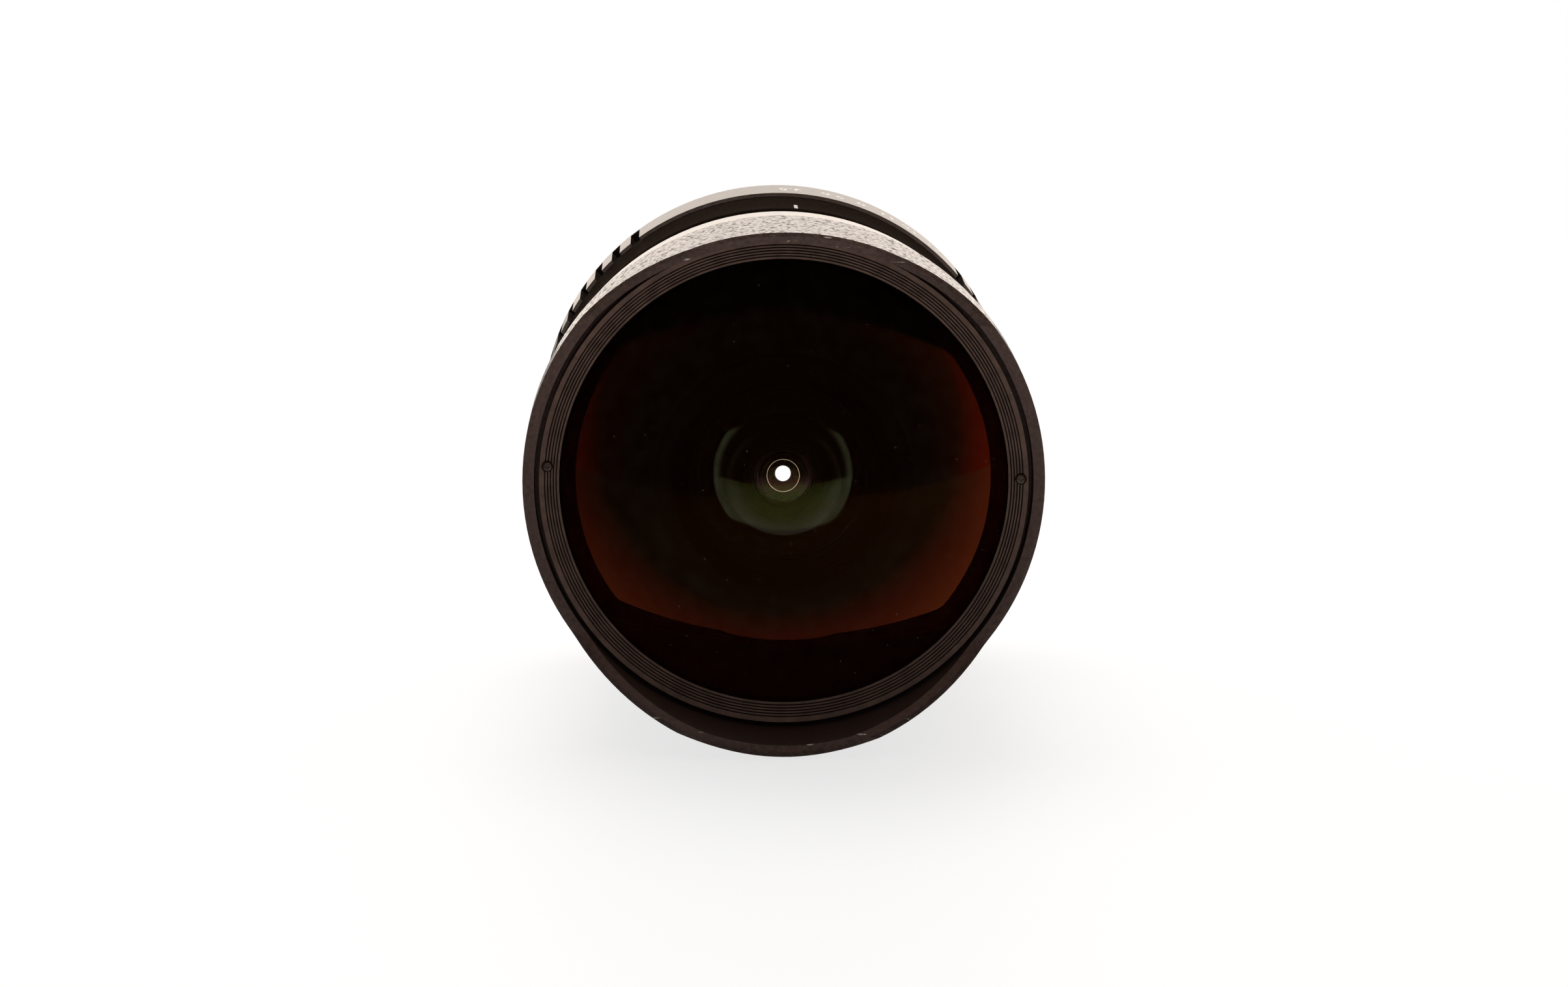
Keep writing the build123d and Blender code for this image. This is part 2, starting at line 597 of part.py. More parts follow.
# Helical groove cut into the focusing ring from inside: the path one follower takes as the ring turns
GROOVE_TURN = FOCUS_BACK + FOCUS_FORTH + 2 * GROOVE_OVERRUN
GROOVE_START_Y = FOLLOWER_Y - (FOCUS_BACK + GROOVE_OVERRUN) * FOCUS_TRAVEL_PER_DEGREE
with BuildPart() as cam_groove:
    with BuildLine() as groove_path:
        Helix(
            pitch=360.0 * FOCUS_TRAVEL_PER_DEGREE,
            height=GROOVE_TURN * FOCUS_TRAVEL_PER_DEGREE,
            radius=FRONT_TUBE_R + GROOVE_DEPTH / 2,
            center=(0, GROOVE_START_Y, 0),
            direction=(0, 1, 0),
            lefthand=True,
        )
    groove_start = groove_path.line @ 0
    groove_outward = Vector(groove_start.X, 0, groove_start.Z)
    with BuildSketch(Plane(origin=groove_start, x_dir=groove_outward, z_dir=groove_path.line % 0)):
        Rectangle(GROOVE_DEPTH + GROOVE_OPENING, 2 * (FOLLOWER_R + RUNNING))
    sweep(path=groove_path.line, is_frenet=True)

# Focusing ring, with a bed for the rubber grip and three helical grooves inside
GRIP_FRONT_Y = FOCUS_FRONT_Y + GRIP_LIP
GRIP_REAR_Y = GRIP_FRONT_Y + GRIP_LENGTH
GRIP_BED_R = GRIP_R - GRIP_DEPTH
with BuildPart() as focus_ring:
    with BuildSketch(Plane.XY):
        with BuildLine():
            Polyline(
                (FRONT_TUBE_R + RUNNING, FOCUS_FRONT_Y),
                (GRIP_R - FRONT_EDGE_CHAMFER, FOCUS_FRONT_Y),
                (GRIP_R, FOCUS_FRONT_Y + FRONT_EDGE_CHAMFER),
                (GRIP_R, GRIP_FRONT_Y),
                (GRIP_BED_R, GRIP_FRONT_Y),
                (GRIP_BED_R, GRIP_REAR_Y),
                (FOCUS_RING_R, GRIP_REAR_Y),
                (FOCUS_RING_R, FOCUS_REAR_Y - REAR_EDGE_CHAMFER),
                (FOCUS_RING_R - REAR_EDGE_CHAMFER, FOCUS_REAR_Y),
                (FRONT_TUBE_R + RUNNING, FOCUS_REAR_Y),
                close=True,
            )
        make_face()
    revolve(axis=Axis.Y)
    for clock in FOLLOWER_CLOCKS:
        groove_turn = clock + FOCUS_BACK + GROOVE_OVERRUN
        add(cam_groove.part.rotate(Axis.Y, groove_turn), mode=Mode.SUBTRACT)
save(focus_ring, "focus_ring")

# Rubber grip: a sleeve with flat-topped ribs along the axis
with BuildPart() as focus_grip:
    with BuildSketch(across(GRIP_FRONT_Y)):
        Circle(GRIP_R - GRIP_RIB_DEPTH)
        Circle(GRIP_BED_R, mode=Mode.SUBTRACT)
    extrude(amount=-GRIP_LENGTH)
    rib_width = 2 * pi * GRIP_R / GRIP_RIBS * GRIP_RIB_SHARE
    with BuildSketch(across(GRIP_FRONT_Y)):
        with PolarLocations(GRIP_R - GRIP_RIB_DEPTH, GRIP_RIBS):
            Rectangle(2 * GRIP_RIB_DEPTH, rib_width)
        Circle(GRIP_R, mode=Mode.INTERSECT)
        Circle(GRIP_BED_R, mode=Mode.SUBTRACT)
    extrude(amount=-GRIP_LENGTH)
save(focus_grip, "focus_grip")

# Focusing carriage: an inner cell for three elements, a pierced web and a sleeve that slides in the barrel
SLEEVE_R = FRONT_BORE_R - RUNNING
SLEEVE_FRONT_Y = FOLLOWER_Y - SLEEVE_LENGTH / 2
THIRD_RIM_R = GLASS["third_element"][6]
FOURTH_RIM_R = GLASS["fourth_element"][6]
CELL_SHOULDER_Y = edge_y("third_element", 1) + SEAT
CELL_STEP_Y = GLASS["third_element"][3] + CARRIAGE_STEP
CELL_REAR_Y = edge_y("fifth_element", 1) + CARRIAGE_REAR_RIM
CELL_OUTER_R = THIRD_RIM_R + SEAT + CARRIAGE_CELL_WALL
CELL_FRONT_Y = edge_y("third_element", 0) - CARRIAGE_FRONT_RIM
with BuildPart() as focus_carriage:
    with BuildSketch(Plane.XY):
        with BuildLine():
            Polyline(
                (THIRD_RIM_R + SEAT, CELL_FRONT_Y),
                (CELL_OUTER_R, CELL_FRONT_Y),
                (CELL_OUTER_R, FOLLOWER_Y - CARRIAGE_WEB / 2),
                (SLEEVE_R - SLEEVE_WALL, FOLLOWER_Y - CARRIAGE_WEB / 2),
                (SLEEVE_R - SLEEVE_WALL, SLEEVE_FRONT_Y),
                (SLEEVE_R, SLEEVE_FRONT_Y),
                (SLEEVE_R, SLEEVE_FRONT_Y + SLEEVE_LENGTH),
                (SLEEVE_R - SLEEVE_WALL, SLEEVE_FRONT_Y + SLEEVE_LENGTH),
                (SLEEVE_R - SLEEVE_WALL, FOLLOWER_Y + CARRIAGE_WEB / 2),
                (CELL_OUTER_R, FOLLOWER_Y + CARRIAGE_WEB / 2),
                (CELL_OUTER_R, CELL_REAR_Y),
                (FOURTH_RIM_R + SEAT, CELL_REAR_Y),
                (FOURTH_RIM_R + SEAT, edge_y("fourth_element", 0) - SEAT),
                (clear_r("fourth_element", 0), edge_y("fourth_element", 0) - SEAT),
                (clear_r("fourth_element", 0), CELL_STEP_Y),
                (clear_r("third_element", 1), CELL_STEP_Y),
                (clear_r("third_element", 1), CELL_SHOULDER_Y),
                (THIRD_RIM_R + SEAT, CELL_SHOULDER_Y),
                close=True,
            )
        make_face()
    revolve(axis=Axis.Y)
    web_hole_r = (CELL_OUTER_R + SLEEVE_R - SLEEVE_WALL) / 2
    with BuildSketch(across(FOLLOWER_Y - CARRIAGE_WEB / 2)):
        with PolarLocations(web_hole_r, CARRIAGE_HOLES, start_angle=CARRIAGE_FIRST_HOLE):
            Circle(CARRIAGE_HOLE_R)
    extrude(amount=-CARRIAGE_WEB, mode=Mode.SUBTRACT)
    for clock in FOLLOWER_CLOCKS:
        with BuildSketch(outward(clock, FOLLOWER_Y)):
            Circle(FOLLOWER_R)
        extrude(amount=SLEEVE_R + OVERCUT, mode=Mode.SUBTRACT)
save(focus_carriage, "focus_carriage")

# The three followers that reach through the barrel's slots into the grooves of the ring
with BuildPart() as cam_followers:
    for clock in FOLLOWER_CLOCKS:
        with BuildSketch(outward(clock, FOLLOWER_Y).offset(SLEEVE_R - SLEEVE_WALL)):
            Circle(FOLLOWER_R)
        extrude(amount=FRONT_TUBE_R + GROOVE_DEPTH - GROOVE_FLOOR_GAP - SLEEVE_R + SLEEVE_WALL)
save(cam_followers, "cam_followers")

# Threaded ring that holds the cemented pair in the carriage
with BuildPart() as carriage_retainer:
    with BuildSketch(Plane.XY):
        retainer_r = FOURTH_RIM_R - CARRIAGE_RETAINER_WIDTH / 2
        retainer_y = edge_y("fifth_element", 1) + SEAT + CARRIAGE_RETAINER_THICKNESS / 2
        with Locations((retainer_r, retainer_y)):
            Rectangle(CARRIAGE_RETAINER_WIDTH, CARRIAGE_RETAINER_THICKNESS)
    revolve(axis=Axis.Y)
save(carriage_retainer, "carriage_retainer")

# Inner barrel: a web bolted into the main barrel, the iris chamber and the tube of the rear cell
CELL_TUBE_REAR_Y = -CELL_TUBE_TO_FLANGE
CHAMBER_OUTER_R = CHAMBER_R + CHAMBER_WALL
with BuildPart() as inner_barrel:
    with BuildSketch(Plane.XY):
        with BuildLine():
            Polyline(
                (CHAMBER_R, WEB_FRONT_Y),
                (REAR_BORE_R - SEAT, WEB_FRONT_Y),
                (REAR_BORE_R - SEAT, WEB_FRONT_Y + WEB_THICKNESS),
                (CHAMBER_OUTER_R, WEB_FRONT_Y + WEB_THICKNESS),
                (CHAMBER_OUTER_R, CHAMBER_REAR_Y + CHAMBER_FLOOR),
                (CELL_TUBE_R, CHAMBER_REAR_Y + CHAMBER_FLOOR),
                (CELL_TUBE_R, CELL_TUBE_REAR_Y),
                (CELL_BORE_R, CELL_TUBE_REAR_Y),
                (CELL_BORE_R, CHAMBER_REAR_Y),
                (CHAMBER_R, CHAMBER_REAR_Y),
                close=True,
            )
        make_face()
    revolve(axis=Axis.Y)
    # Window for the arm of the iris cam ring
    arm_half = degrees(asin(ARM_WIDTH / 2 / CHAMBER_R)) + WINDOW_MARGIN
    with BuildSketch(across(CAM_REAR_Y + MOVING_GAP)):
        with BuildLine():
            window(CHAMBER_R - OVERCUT / 2, CHAMBER_OUTER_R + OVERCUT, ARM_CLOCK, arm_half, STOP_TRAVEL)
        make_face()
    extrude(amount=CAM_THICKNESS + 2 * MOVING_GAP, mode=Mode.SUBTRACT)
    with BuildSketch(across(WEB_FRONT_Y)):
        with Locations(*[clock_point(WEB_SCREW_CIRCLE_R, c) for c in WEB_SCREW_CLOCKS]):
            Circle(WEB_SCREW_R + WEB_SCREW_HOLE_CLEARANCE)
    extrude(amount=-WEB_THICKNESS, mode=Mode.SUBTRACT)
save(inner_barrel, "inner_barrel")

# Screws that hold the inner barrel to its seat
with BuildPart() as inner_barrel_screws:
    for clock in WEB_SCREW_CLOCKS:
        with BuildSketch(across(WEB_FRONT_Y + WEB_THICKNESS)):
            with Locations(clock_point(WEB_SCREW_CIRCLE_R, clock)):
                Circle(WEB_SCREW_R)
        extrude(amount=WEB_THICKNESS + WEB_SEAT_THICKNESS)
        with BuildSketch(across(WEB_FRONT_Y + WEB_THICKNESS)):
            with Locations(clock_point(WEB_SCREW_CIRCLE_R, clock)):
                Circle(WEB_SCREW_HEAD_R)
        extrude(amount=-WEB_SCREW_HEAD)
        with BuildSketch(across(WEB_FRONT_Y + WEB_THICKNESS + WEB_SCREW_HEAD)):
            with Locations(clock_point(WEB_SCREW_CIRCLE_R, clock)):
                Rectangle(2 * WEB_SCREW_HEAD_R + OVERCUT, SCREW_SLOT_WIDTH)
        extrude(amount=SCREW_SLOT_DEPTH, mode=Mode.SUBTRACT)
save(inner_barrel_screws, "inner_barrel_screws")

# Fixed iris plate with the holes that the blades turn in
BLADE_ANGLES = [360.0 * i / BLADE_COUNT for i in range(BLADE_COUNT)]
with BuildPart() as iris_plate:
    with BuildSketch(across(IRIS_Y)):
        Circle(CHAMBER_R - SEAT)
        Circle(IRIS_HOLE_R, mode=Mode.SUBTRACT)
        with PolarLocations(PIVOT_CIRCLE_R, BLADE_COUNT):
            Circle(BLADE_PIN_R + PIN_CLEARANCE, mode=Mode.SUBTRACT)
    extrude(amount=IRIS_PLATE)
save(iris_plate, "iris_plate")

# Ring that locks the iris plate in the chamber
with BuildPart() as iris_retainer:
    with BuildSketch(across(IRIS_FRONT_Y)):
        Circle(CHAMBER_R - SEAT)
        Circle(CHAMBER_R - SEAT - IRIS_RETAINER_WIDTH, mode=Mode.SUBTRACT)
        with PolarLocations(CHAMBER_R - SEAT, 2):
            Rectangle(2 * SPANNER_NOTCH_DEPTH, SPANNER_NOTCH_WIDTH, mode=Mode.SUBTRACT)
    extrude(amount=IRIS_FRONT_Y - WEB_FRONT_Y - IRIS_RETAINER_INSET)
save(iris_retainer, "iris_retainer")

# Iris geometry: how far each blade swings, and where its cam pin goes as the ring turns
BLADE_SWING = degrees(2 * asin((OPEN_R - CLOSED_R) / 2 / PIVOT_CIRCLE_R))
LEVER_REST = -90.0 - BLADE_SWING / 2
BLADE_SPAN = BLADE_TAIL_ANGLE - BLADE_HEAD_ANGLE


def cam_pin(share):
    """The cam pin of the blade at angle zero, when the iris is this share of the way closed."""
    angle = radians(LEVER_REST + share * BLADE_SWING)
    return (PIVOT_CIRCLE_R + BLADE_LEVER * cos(angle), BLADE_LEVER * sin(angle))


def cam_pin_in_ring(share):
    """The same point as the cam ring sees it, after it has turned by the same share of its travel."""
    x, y = cam_pin(share)
    angle = atan2(y, x) - radians(share * STOP_TRAVEL)
    return (hypot(x, y) * cos(angle), hypot(x, y) * sin(angle))


# Six blades, each on its own level, with a pivot pin to the front and a cam pin to the rear
for i, blade_angle in enumerate(BLADE_ANGLES):
    blade_y = BLADES_Y + i * BLADE_PITCH
    with BuildPart() as iris_blade:
        with BuildSketch(across(blade_y)):
            with BuildLine():
                window(OPEN_R, BLADE_OUTER_R, 90.0 - BLADE_HEAD_ANGLE, 0.0, BLADE_SPAN)
            band = make_face()
            fillet(band.vertices(), BLADE_TAIL_FILLET)
            with Locations((PIVOT_CIRCLE_R - BLADE_NECK_LENGTH / 2, 0)):
                Rectangle(BLADE_NECK_LENGTH, BLADE_NECK_WIDTH)
            with Locations((PIVOT_CIRCLE_R, 0)):
                Circle(BLADE_LUG_R)
            with Locations(cam_pin(0)):
                Circle(BLADE_LUG_R)
            lever_middle = ((PIVOT_CIRCLE_R + cam_pin(0)[0]) / 2, cam_pin(0)[1] / 2)
            with Locations(Location((*lever_middle, 0), (0, 0, LEVER_REST))):
                Rectangle(BLADE_LEVER, 2 * BLADE_LUG_R)
        extrude(amount=-BLADE_THICKNESS)
        with BuildSketch(across(blade_y)):
            with Locations((PIVOT_CIRCLE_R, 0)):
                Circle(BLADE_PIN_R)
        extrude(amount=blade_y - IRIS_FRONT_Y - IRIS_GAP)
        with BuildSketch(across(blade_y + BLADE_THICKNESS)):
            with Locations(cam_pin(0)):
                Circle(BLADE_PIN_R)
        extrude(amount=-(CAM_REAR_Y - IRIS_GAP - blade_y - BLADE_THICKNESS))
    blade_piece = iris_blade.part.rotate(Axis.Y, -blade_angle)
    blade_piece.label = f"iris_blade_{i + 1}"
    export_step(blade_piece, f"parts/iris_blade_{i + 1}.step")

# Cam ring: six curved slots that swing the blades, and an arm with a fork for the aperture ring's pin
FORK_LENGTH = FORK_OUTER_R - FORK_INNER_R + FORK_END
SLOT_MIDDLE = ThreePointArc(cam_pin_in_ring(0), cam_pin_in_ring(0.5), cam_pin_in_ring(1))
with BuildPart() as iris_cam_ring:
    with BuildSketch(across(CAM_Y)) as cam_outline:
        Circle(CHAMBER_R - RUNNING)
        with Locations(Location((0, 0, 0), (0, 0, 90.0 - ARM_CLOCK))):
            with Locations((FORK_OUTER_R / 2, 0)):
                Rectangle(FORK_OUTER_R, ARM_WIDTH)
            fork_middle_r = FORK_INNER_R + FORK_LENGTH / 2
            with Locations((fork_middle_r, 0)):
                Rectangle(FORK_LENGTH, LINK_WIDTH + 2 * RUNNING, mode=Mode.SUBTRACT)
        Circle(CAM_INNER_R, mode=Mode.SUBTRACT)
    extrude(amount=-CAM_THICKNESS)
    with BuildSketch(across(CAM_Y)):
        with PolarLocations(0, BLADE_COUNT):
            SlotArc(SLOT_MIDDLE, 2 * (BLADE_PIN_R + CAM_CLEARANCE))
    extrude(amount=-CAM_THICKNESS, mode=Mode.SUBTRACT)
save(iris_cam_ring, "iris_cam_ring")

# Thin washer that the cam ring turns against
with BuildPart() as iris_washer:
    with BuildSketch(across(WASHER_Y)):
        Circle(CHAMBER_R - SEAT)
        Circle(CAM_INNER_R, mode=Mode.SUBTRACT)
    extrude(amount=WASHER_Y - CHAMBER_REAR_Y)
save(iris_washer, "iris_washer")

# Rear cell with its two inner steps
SIXTH_RIM_R = GLASS["sixth_element"][6]
NINTH_RIM_R = GLASS["ninth_element"][6]
REAR_CELL_FRONT_Y = edge_y("sixth_element", 0) - SEAT - CELL_FRONT_LIP
REAR_CELL_REAR_Y = edge_y("tenth_element", 1) + CELL_REAR_LIP
with BuildPart() as rear_cell:
    with BuildSketch(Plane.XY):
        with BuildLine():
            Polyline(
                (clear_r("sixth_element", 0), REAR_CELL_FRONT_Y),
                (CELL_BORE_R - SEAT, REAR_CELL_FRONT_Y),
                (CELL_BORE_R - SEAT, CELL_TUBE_REAR_Y),
                (CELL_TUBE_R, CELL_TUBE_REAR_Y),
                (CELL_TUBE_R, CELL_TUBE_REAR_Y + CELL_COLLAR),
                (NINTH_RIM_R + CELL_REAR_WALL, CELL_TUBE_REAR_Y + CELL_COLLAR),
                (NINTH_RIM_R + CELL_REAR_WALL, REAR_CELL_REAR_Y),
                (NINTH_RIM_R + SEAT, REAR_CELL_REAR_Y),
                (NINTH_RIM_R + SEAT, edge_y("ninth_element", 0) - SEAT),
                (SIXTH_RIM_R + SEAT, edge_y("ninth_element", 0) - SEAT),
                (SIXTH_RIM_R + SEAT, edge_y("sixth_element", 0) - SEAT),
                (clear_r("sixth_element", 0), edge_y("sixth_element", 0) - SEAT),
                close=True,
            )
        make_face()
    revolve(axis=Axis.Y)
save(rear_cell, "rear_cell")

# Spacer between the sixth element and the first cemented pair of the rear cell
with BuildPart() as rear_spacer:
    with BuildSketch(Plane.XY):
        spacer_front_y = edge_y("sixth_element", 1) + SEAT / 2
        spacer_rear_y = edge_y("seventh_element", 0) - SEAT / 2
        with Locations((SIXTH_RIM_R - SPACER_GAP - SPACER_WIDTH / 2, (spacer_front_y + spacer_rear_y) / 2)):
            Rectangle(SPACER_WIDTH, spacer_rear_y - spacer_front_y)
    revolve(axis=Axis.Y)
save(rear_spacer, "rear_spacer")

# Threaded ring behind that pair
with BuildPart() as pair_retainer:
    with BuildSketch(Plane.XY):
        retainer_r = SIXTH_RIM_R - SPACER_GAP - PAIR_RETAINER_WIDTH / 2
        with Locations((retainer_r, edge_y("eighth_element", 1) + SEAT + PAIR_RETAINER_THICKNESS / 2)):
            Rectangle(PAIR_RETAINER_WIDTH, PAIR_RETAINER_THICKNESS)
    revolve(axis=Axis.Y)
save(pair_retainer, "pair_retainer")

# Threaded ring with two spanner notches behind the last glass
with BuildPart() as rear_retainer:
    with BuildSketch(across(edge_y("tenth_element", 1) + SEAT)):
        Circle(NINTH_RIM_R)
        Circle(clear_r("tenth_element", 1), mode=Mode.SUBTRACT)
        with PolarLocations(NINTH_RIM_R, 2):
            Rectangle(REAR_NOTCH_DEPTH, SPANNER_NOTCH_WIDTH, mode=Mode.SUBTRACT)
    extrude(amount=-REAR_RETAINER_THICKNESS)
save(rear_retainer, "rear_retainer")

# Aperture ring: rows of open-fronted pockets for the fingers, leaving a bare field for the numbers
POCKET_CLOCKS = [POCKET_FIRST_CLOCK - POCKET_PITCH * i for i in range(POCKET_COUNT)]
POCKET_LENGTH = APERTURE_RING_LENGTH - POCKET_REAR_RIM
DETENT_Y = BASE_FRONT_Y - REAR_RIB_LENGTH / 2
with BuildPart() as aperture_ring:
    with BuildSketch(Plane.XY):
        with BuildLine():
            Polyline(
                (REAR_TUBE_R + RUNNING, RING_FRONT_Y),
                (APERTURE_RING_R - RING_CHAMFER, RING_FRONT_Y),
                (APERTURE_RING_R, RING_FRONT_Y + RING_CHAMFER),
                (APERTURE_RING_R, RING_REAR_Y - RING_CHAMFER / 2),
                (APERTURE_RING_R - RING_CHAMFER / 2, RING_REAR_Y),
                (REAR_TUBE_R + RUNNING, RING_REAR_Y),
                close=True,
            )
        make_face()
    revolve(axis=Axis.Y)
    with BuildSketch(across(RING_FRONT_Y)):
        for clock in POCKET_CLOCKS:
            place = clock_point(APERTURE_RING_R, clock)
            with Locations(Location((*place, 0), (0, 0, -clock))):
                Rectangle(POCKET_WIDTH, 2 * POCKET_DEPTH)
    extrude(amount=-POCKET_LENGTH, mode=Mode.SUBTRACT)
    # Seat of the link inside the ring
    with BuildSketch(across(LINK_Y + LINK_LENGTH / 2)):
        link_seat = clock_point(REAR_TUBE_R, ARM_CLOCK)
        with Locations(Location((*link_seat, 0), (0, 0, -ARM_CLOCK))):
            Rectangle(LINK_WIDTH, 2 * LINK_INSET)
    extrude(amount=LINK_LENGTH, mode=Mode.SUBTRACT)
    # Dimples for the click ball, one for each number
    for stop in DETENT_CLOCKS:
        dimple_plane = outward(DETENT_CLOCK + stop, DETENT_Y)
        dimple_centre = dimple_plane.offset(REAR_TUBE_R + DETENT_DIMPLE - DETENT_BALL_R)
        with Locations(dimple_centre):
            Sphere(DETENT_BALL_R, mode=Mode.SUBTRACT)
save(aperture_ring, "aperture_ring")

# Link: set into the aperture ring, it reaches in through the window and forward to the fork
LEG_FRONT_Y = CAM_Y - LEG_OVERREACH
with BuildPart() as aperture_link:
    with BuildSketch(across(LINK_Y + LINK_LENGTH / 2)):
        link_middle = clock_point((LINK_INNER_R + REAR_TUBE_R + LINK_INSET) / 2, ARM_CLOCK)
        with Locations(Location((*link_middle, 0), (0, 0, -ARM_CLOCK))):
            Rectangle(LINK_WIDTH, REAR_TUBE_R + LINK_INSET - LINK_INNER_R)
    extrude(amount=LINK_LENGTH)
    with BuildSketch(across(LINK_Y + LINK_LENGTH / 2)):
        leg_middle = clock_point(LINK_INNER_R + LINK_THICKNESS / 2, ARM_CLOCK)
        with Locations(Location((*leg_middle, 0), (0, 0, -ARM_CLOCK))):
            Rectangle(LINK_WIDTH, LINK_THICKNESS)
    extrude(amount=LINK_Y + LINK_LENGTH / 2 - LEG_FRONT_Y)
save(aperture_link, "aperture_link")

# Click ball, and the leaf spring below it
BALL_CENTRE_R = REAR_TUBE_R - DETENT_BALL_R - DETENT_SLACK
with BuildPart() as click_ball:
    with Locations(outward(DETENT_CLOCK, DETENT_Y).offset(BALL_CENTRE_R)):
        Sphere(DETENT_BALL_R)
save(click_ball, "click_ball")

SPRING_R = BALL_CENTRE_R - DETENT_BALL_R - SPRING_THICKNESS - DETENT_SLACK
with BuildPart() as click_spring:
    with BuildSketch(outward(DETENT_CLOCK, DETENT_Y).offset(SPRING_R)):
        Circle(DETENT_BALL_R)
        Rectangle(2 * DETENT_BALL_R, SPRING_WIDTH, mode=Mode.SUBTRACT)
        Circle(SPRING_EYE_R)
    extrude(amount=SPRING_THICKNESS)
save(click_spring, "click_spring")

# Mount base: the tapered collar behind the aperture ring
SCREW_PLACES = [clock_point(MOUNT_SCREW_CIRCLE_R, c) for c in SCREW_CLOCKS]
LOCK_PLACE = clock_point(MOUNT_SCREW_CIRCLE_R, LOCK_HOLE_CLOCK)
DOT_Y = BASE_FRONT_Y + MOUNT_BASE_THICKNESS / 2
DOT_BED_R = (BASE_FRONT_R + BASE_REAR_R) / 2 - INDEX_DOT_SUNK
with BuildPart() as mount_base:
    with BuildSketch(Plane.XY):
        with BuildLine():
            Polyline(
                (SPIGOT_BORE_R, BASE_FRONT_Y),
                (BASE_FRONT_R, BASE_FRONT_Y),
                (BASE_REAR_R, BASE_REAR_Y),
                (SPIGOT_BORE_R, BASE_REAR_Y),
                close=True,
            )
        make_face()
    revolve(axis=Axis.Y)
    with BuildSketch(across(BASE_REAR_Y)):
        with Locations(*SCREW_PLACES):
            Circle(MOUNT_SCREW_R + SEAT)
    extrude(amount=MOUNT_BASE_THICKNESS, mode=Mode.SUBTRACT)
    with BuildSketch(outward(0, DOT_Y).offset(DOT_BED_R)):
        Circle(INDEX_DOT_R)
    extrude(amount=BASE_FRONT_R, mode=Mode.SUBTRACT)
save(mount_base, "mount_base")

# Raised dot that lines the lens up with the camera
with BuildPart() as mount_index_dot:
    with BuildSketch(outward(0, DOT_Y).offset(DOT_BED_R)):
        Circle(INDEX_DOT_R)
    extrude(amount=INDEX_DOT_SUNK + INDEX_DOT_PROUD)
    fillet(mount_index_dot.edges().group_by(Axis.Z)[-1], INDEX_DOT_ROUND)
save(mount_index_dot, "mount_index_dot")

# Bayonet flange: bearing face, turned relief, spigot and three lugs
LUG_CLOCKS = [LUG_CLOCK + 360.0 * i / LUG_COUNT for i in range(LUG_COUNT)]
with BuildPart() as mount_flange:
    with BuildSketch(Plane.XY):
        with BuildLine():
            Polyline(
                (SPIGOT_BORE_R, BASE_REAR_Y),
                (FLANGE_R, BASE_REAR_Y),
                (FLANGE_R, -FLANGE_CHAMFER),
                (FLANGE_R - FLANGE_CHAMFER, 0),
                (RELIEF_R, 0),
                (RELIEF_R, -RELIEF_DEPTH),
                (SPIGOT_R, -RELIEF_DEPTH),
                (SPIGOT_R, SPIGOT_LENGTH - SPIGOT_CHAMFER),
                (SPIGOT_R - SPIGOT_CHAMFER, SPIGOT_LENGTH),
                (SPIGOT_BORE_R, SPIGOT_LENGTH),
                close=True,
            )
        make_face()
    revolve(axis=Axis.Y)
    with BuildSketch(across(LUG_START)):
        for clock in LUG_CLOCKS:
            with BuildLine():
                window(SPIGOT_R - LUG_ROOT, LUG_R, clock, LUG_SPAN / 2, 0.0)
            make_face()
    extrude(amount=-LUG_THICKNESS)
    for place in SCREW_PLACES:
        with BuildSketch(across(0)):
            with Locations(place):
                Circle(MOUNT_SCREW_HEAD_R + SEAT)
        extrude(amount=MOUNT_SCREW_HEAD + MOUNT_SCREW_HEAD_SUNK, mode=Mode.SUBTRACT)
        with BuildSketch(across(0)):
            with Locations(place):
                Circle(MOUNT_SCREW_R + SEAT)
        extrude(amount=FLANGE_THICKNESS, mode=Mode.SUBTRACT)
    with BuildSketch(across(0)):
        with Locations(LOCK_PLACE):
            Circle(LOCK_HOLE_R)
    extrude(amount=FLANGE_THICKNESS, mode=Mode.SUBTRACT)
save(mount_flange, "mount_flange")

# Four slotted screws sunk in the flange
with BuildPart() as mount_screws:
    for clock, place in zip(SCREW_CLOCKS, SCREW_PLACES):
        with BuildSketch(across(-MOUNT_SCREW_HEAD_SUNK)):
            with Locations(place):
                Circle(MOUNT_SCREW_HEAD_R)
        extrude(amount=MOUNT_SCREW_HEAD)
        with BuildSketch(across(-MOUNT_SCREW_HEAD_SUNK)):
            with Locations(place):
                Circle(MOUNT_SCREW_R)
        extrude(amount=MOUNT_SCREW_LENGTH)
        with BuildSketch(across(-MOUNT_SCREW_HEAD_SUNK)):
            with Locations(Location((*place, 0), (0, 0, SCREW_SLOT_TURN - clock))):
                Rectangle(2 * MOUNT_SCREW_HEAD_R + OVERCUT, SCREW_SLOT_WIDTH)
        extrude(amount=SCREW_SLOT_DEPTH, mode=Mode.SUBTRACT)
save(mount_screws, "mount_screws")

# Rear light mask: a disc with an oblong window in front of the last glass
with BuildPart() as rear_mask:
    with BuildSketch(across(BASE_FRONT_Y)):
        Circle(MASK_R)
        RectangleRounded(MASK_WIDTH, MASK_HEIGHT, MASK_CORNER_R, mode=Mode.SUBTRACT)
    extrude(amount=MASK_THICKNESS)
save(rear_mask, "rear_mask")
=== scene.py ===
# %% [markdown]
# # A fisheye lens lying on a white table
# The lens comes in as a packed CAD model whose pieces keep their places, so this lesson is about looks:
# paint, glass, figures, light and camera. We note its box of sizes first.

# %% Load the lens
import math

import bmesh
import bpy
from mathutils import Matrix, Vector
from mathutils.bvhtree import BVHTree


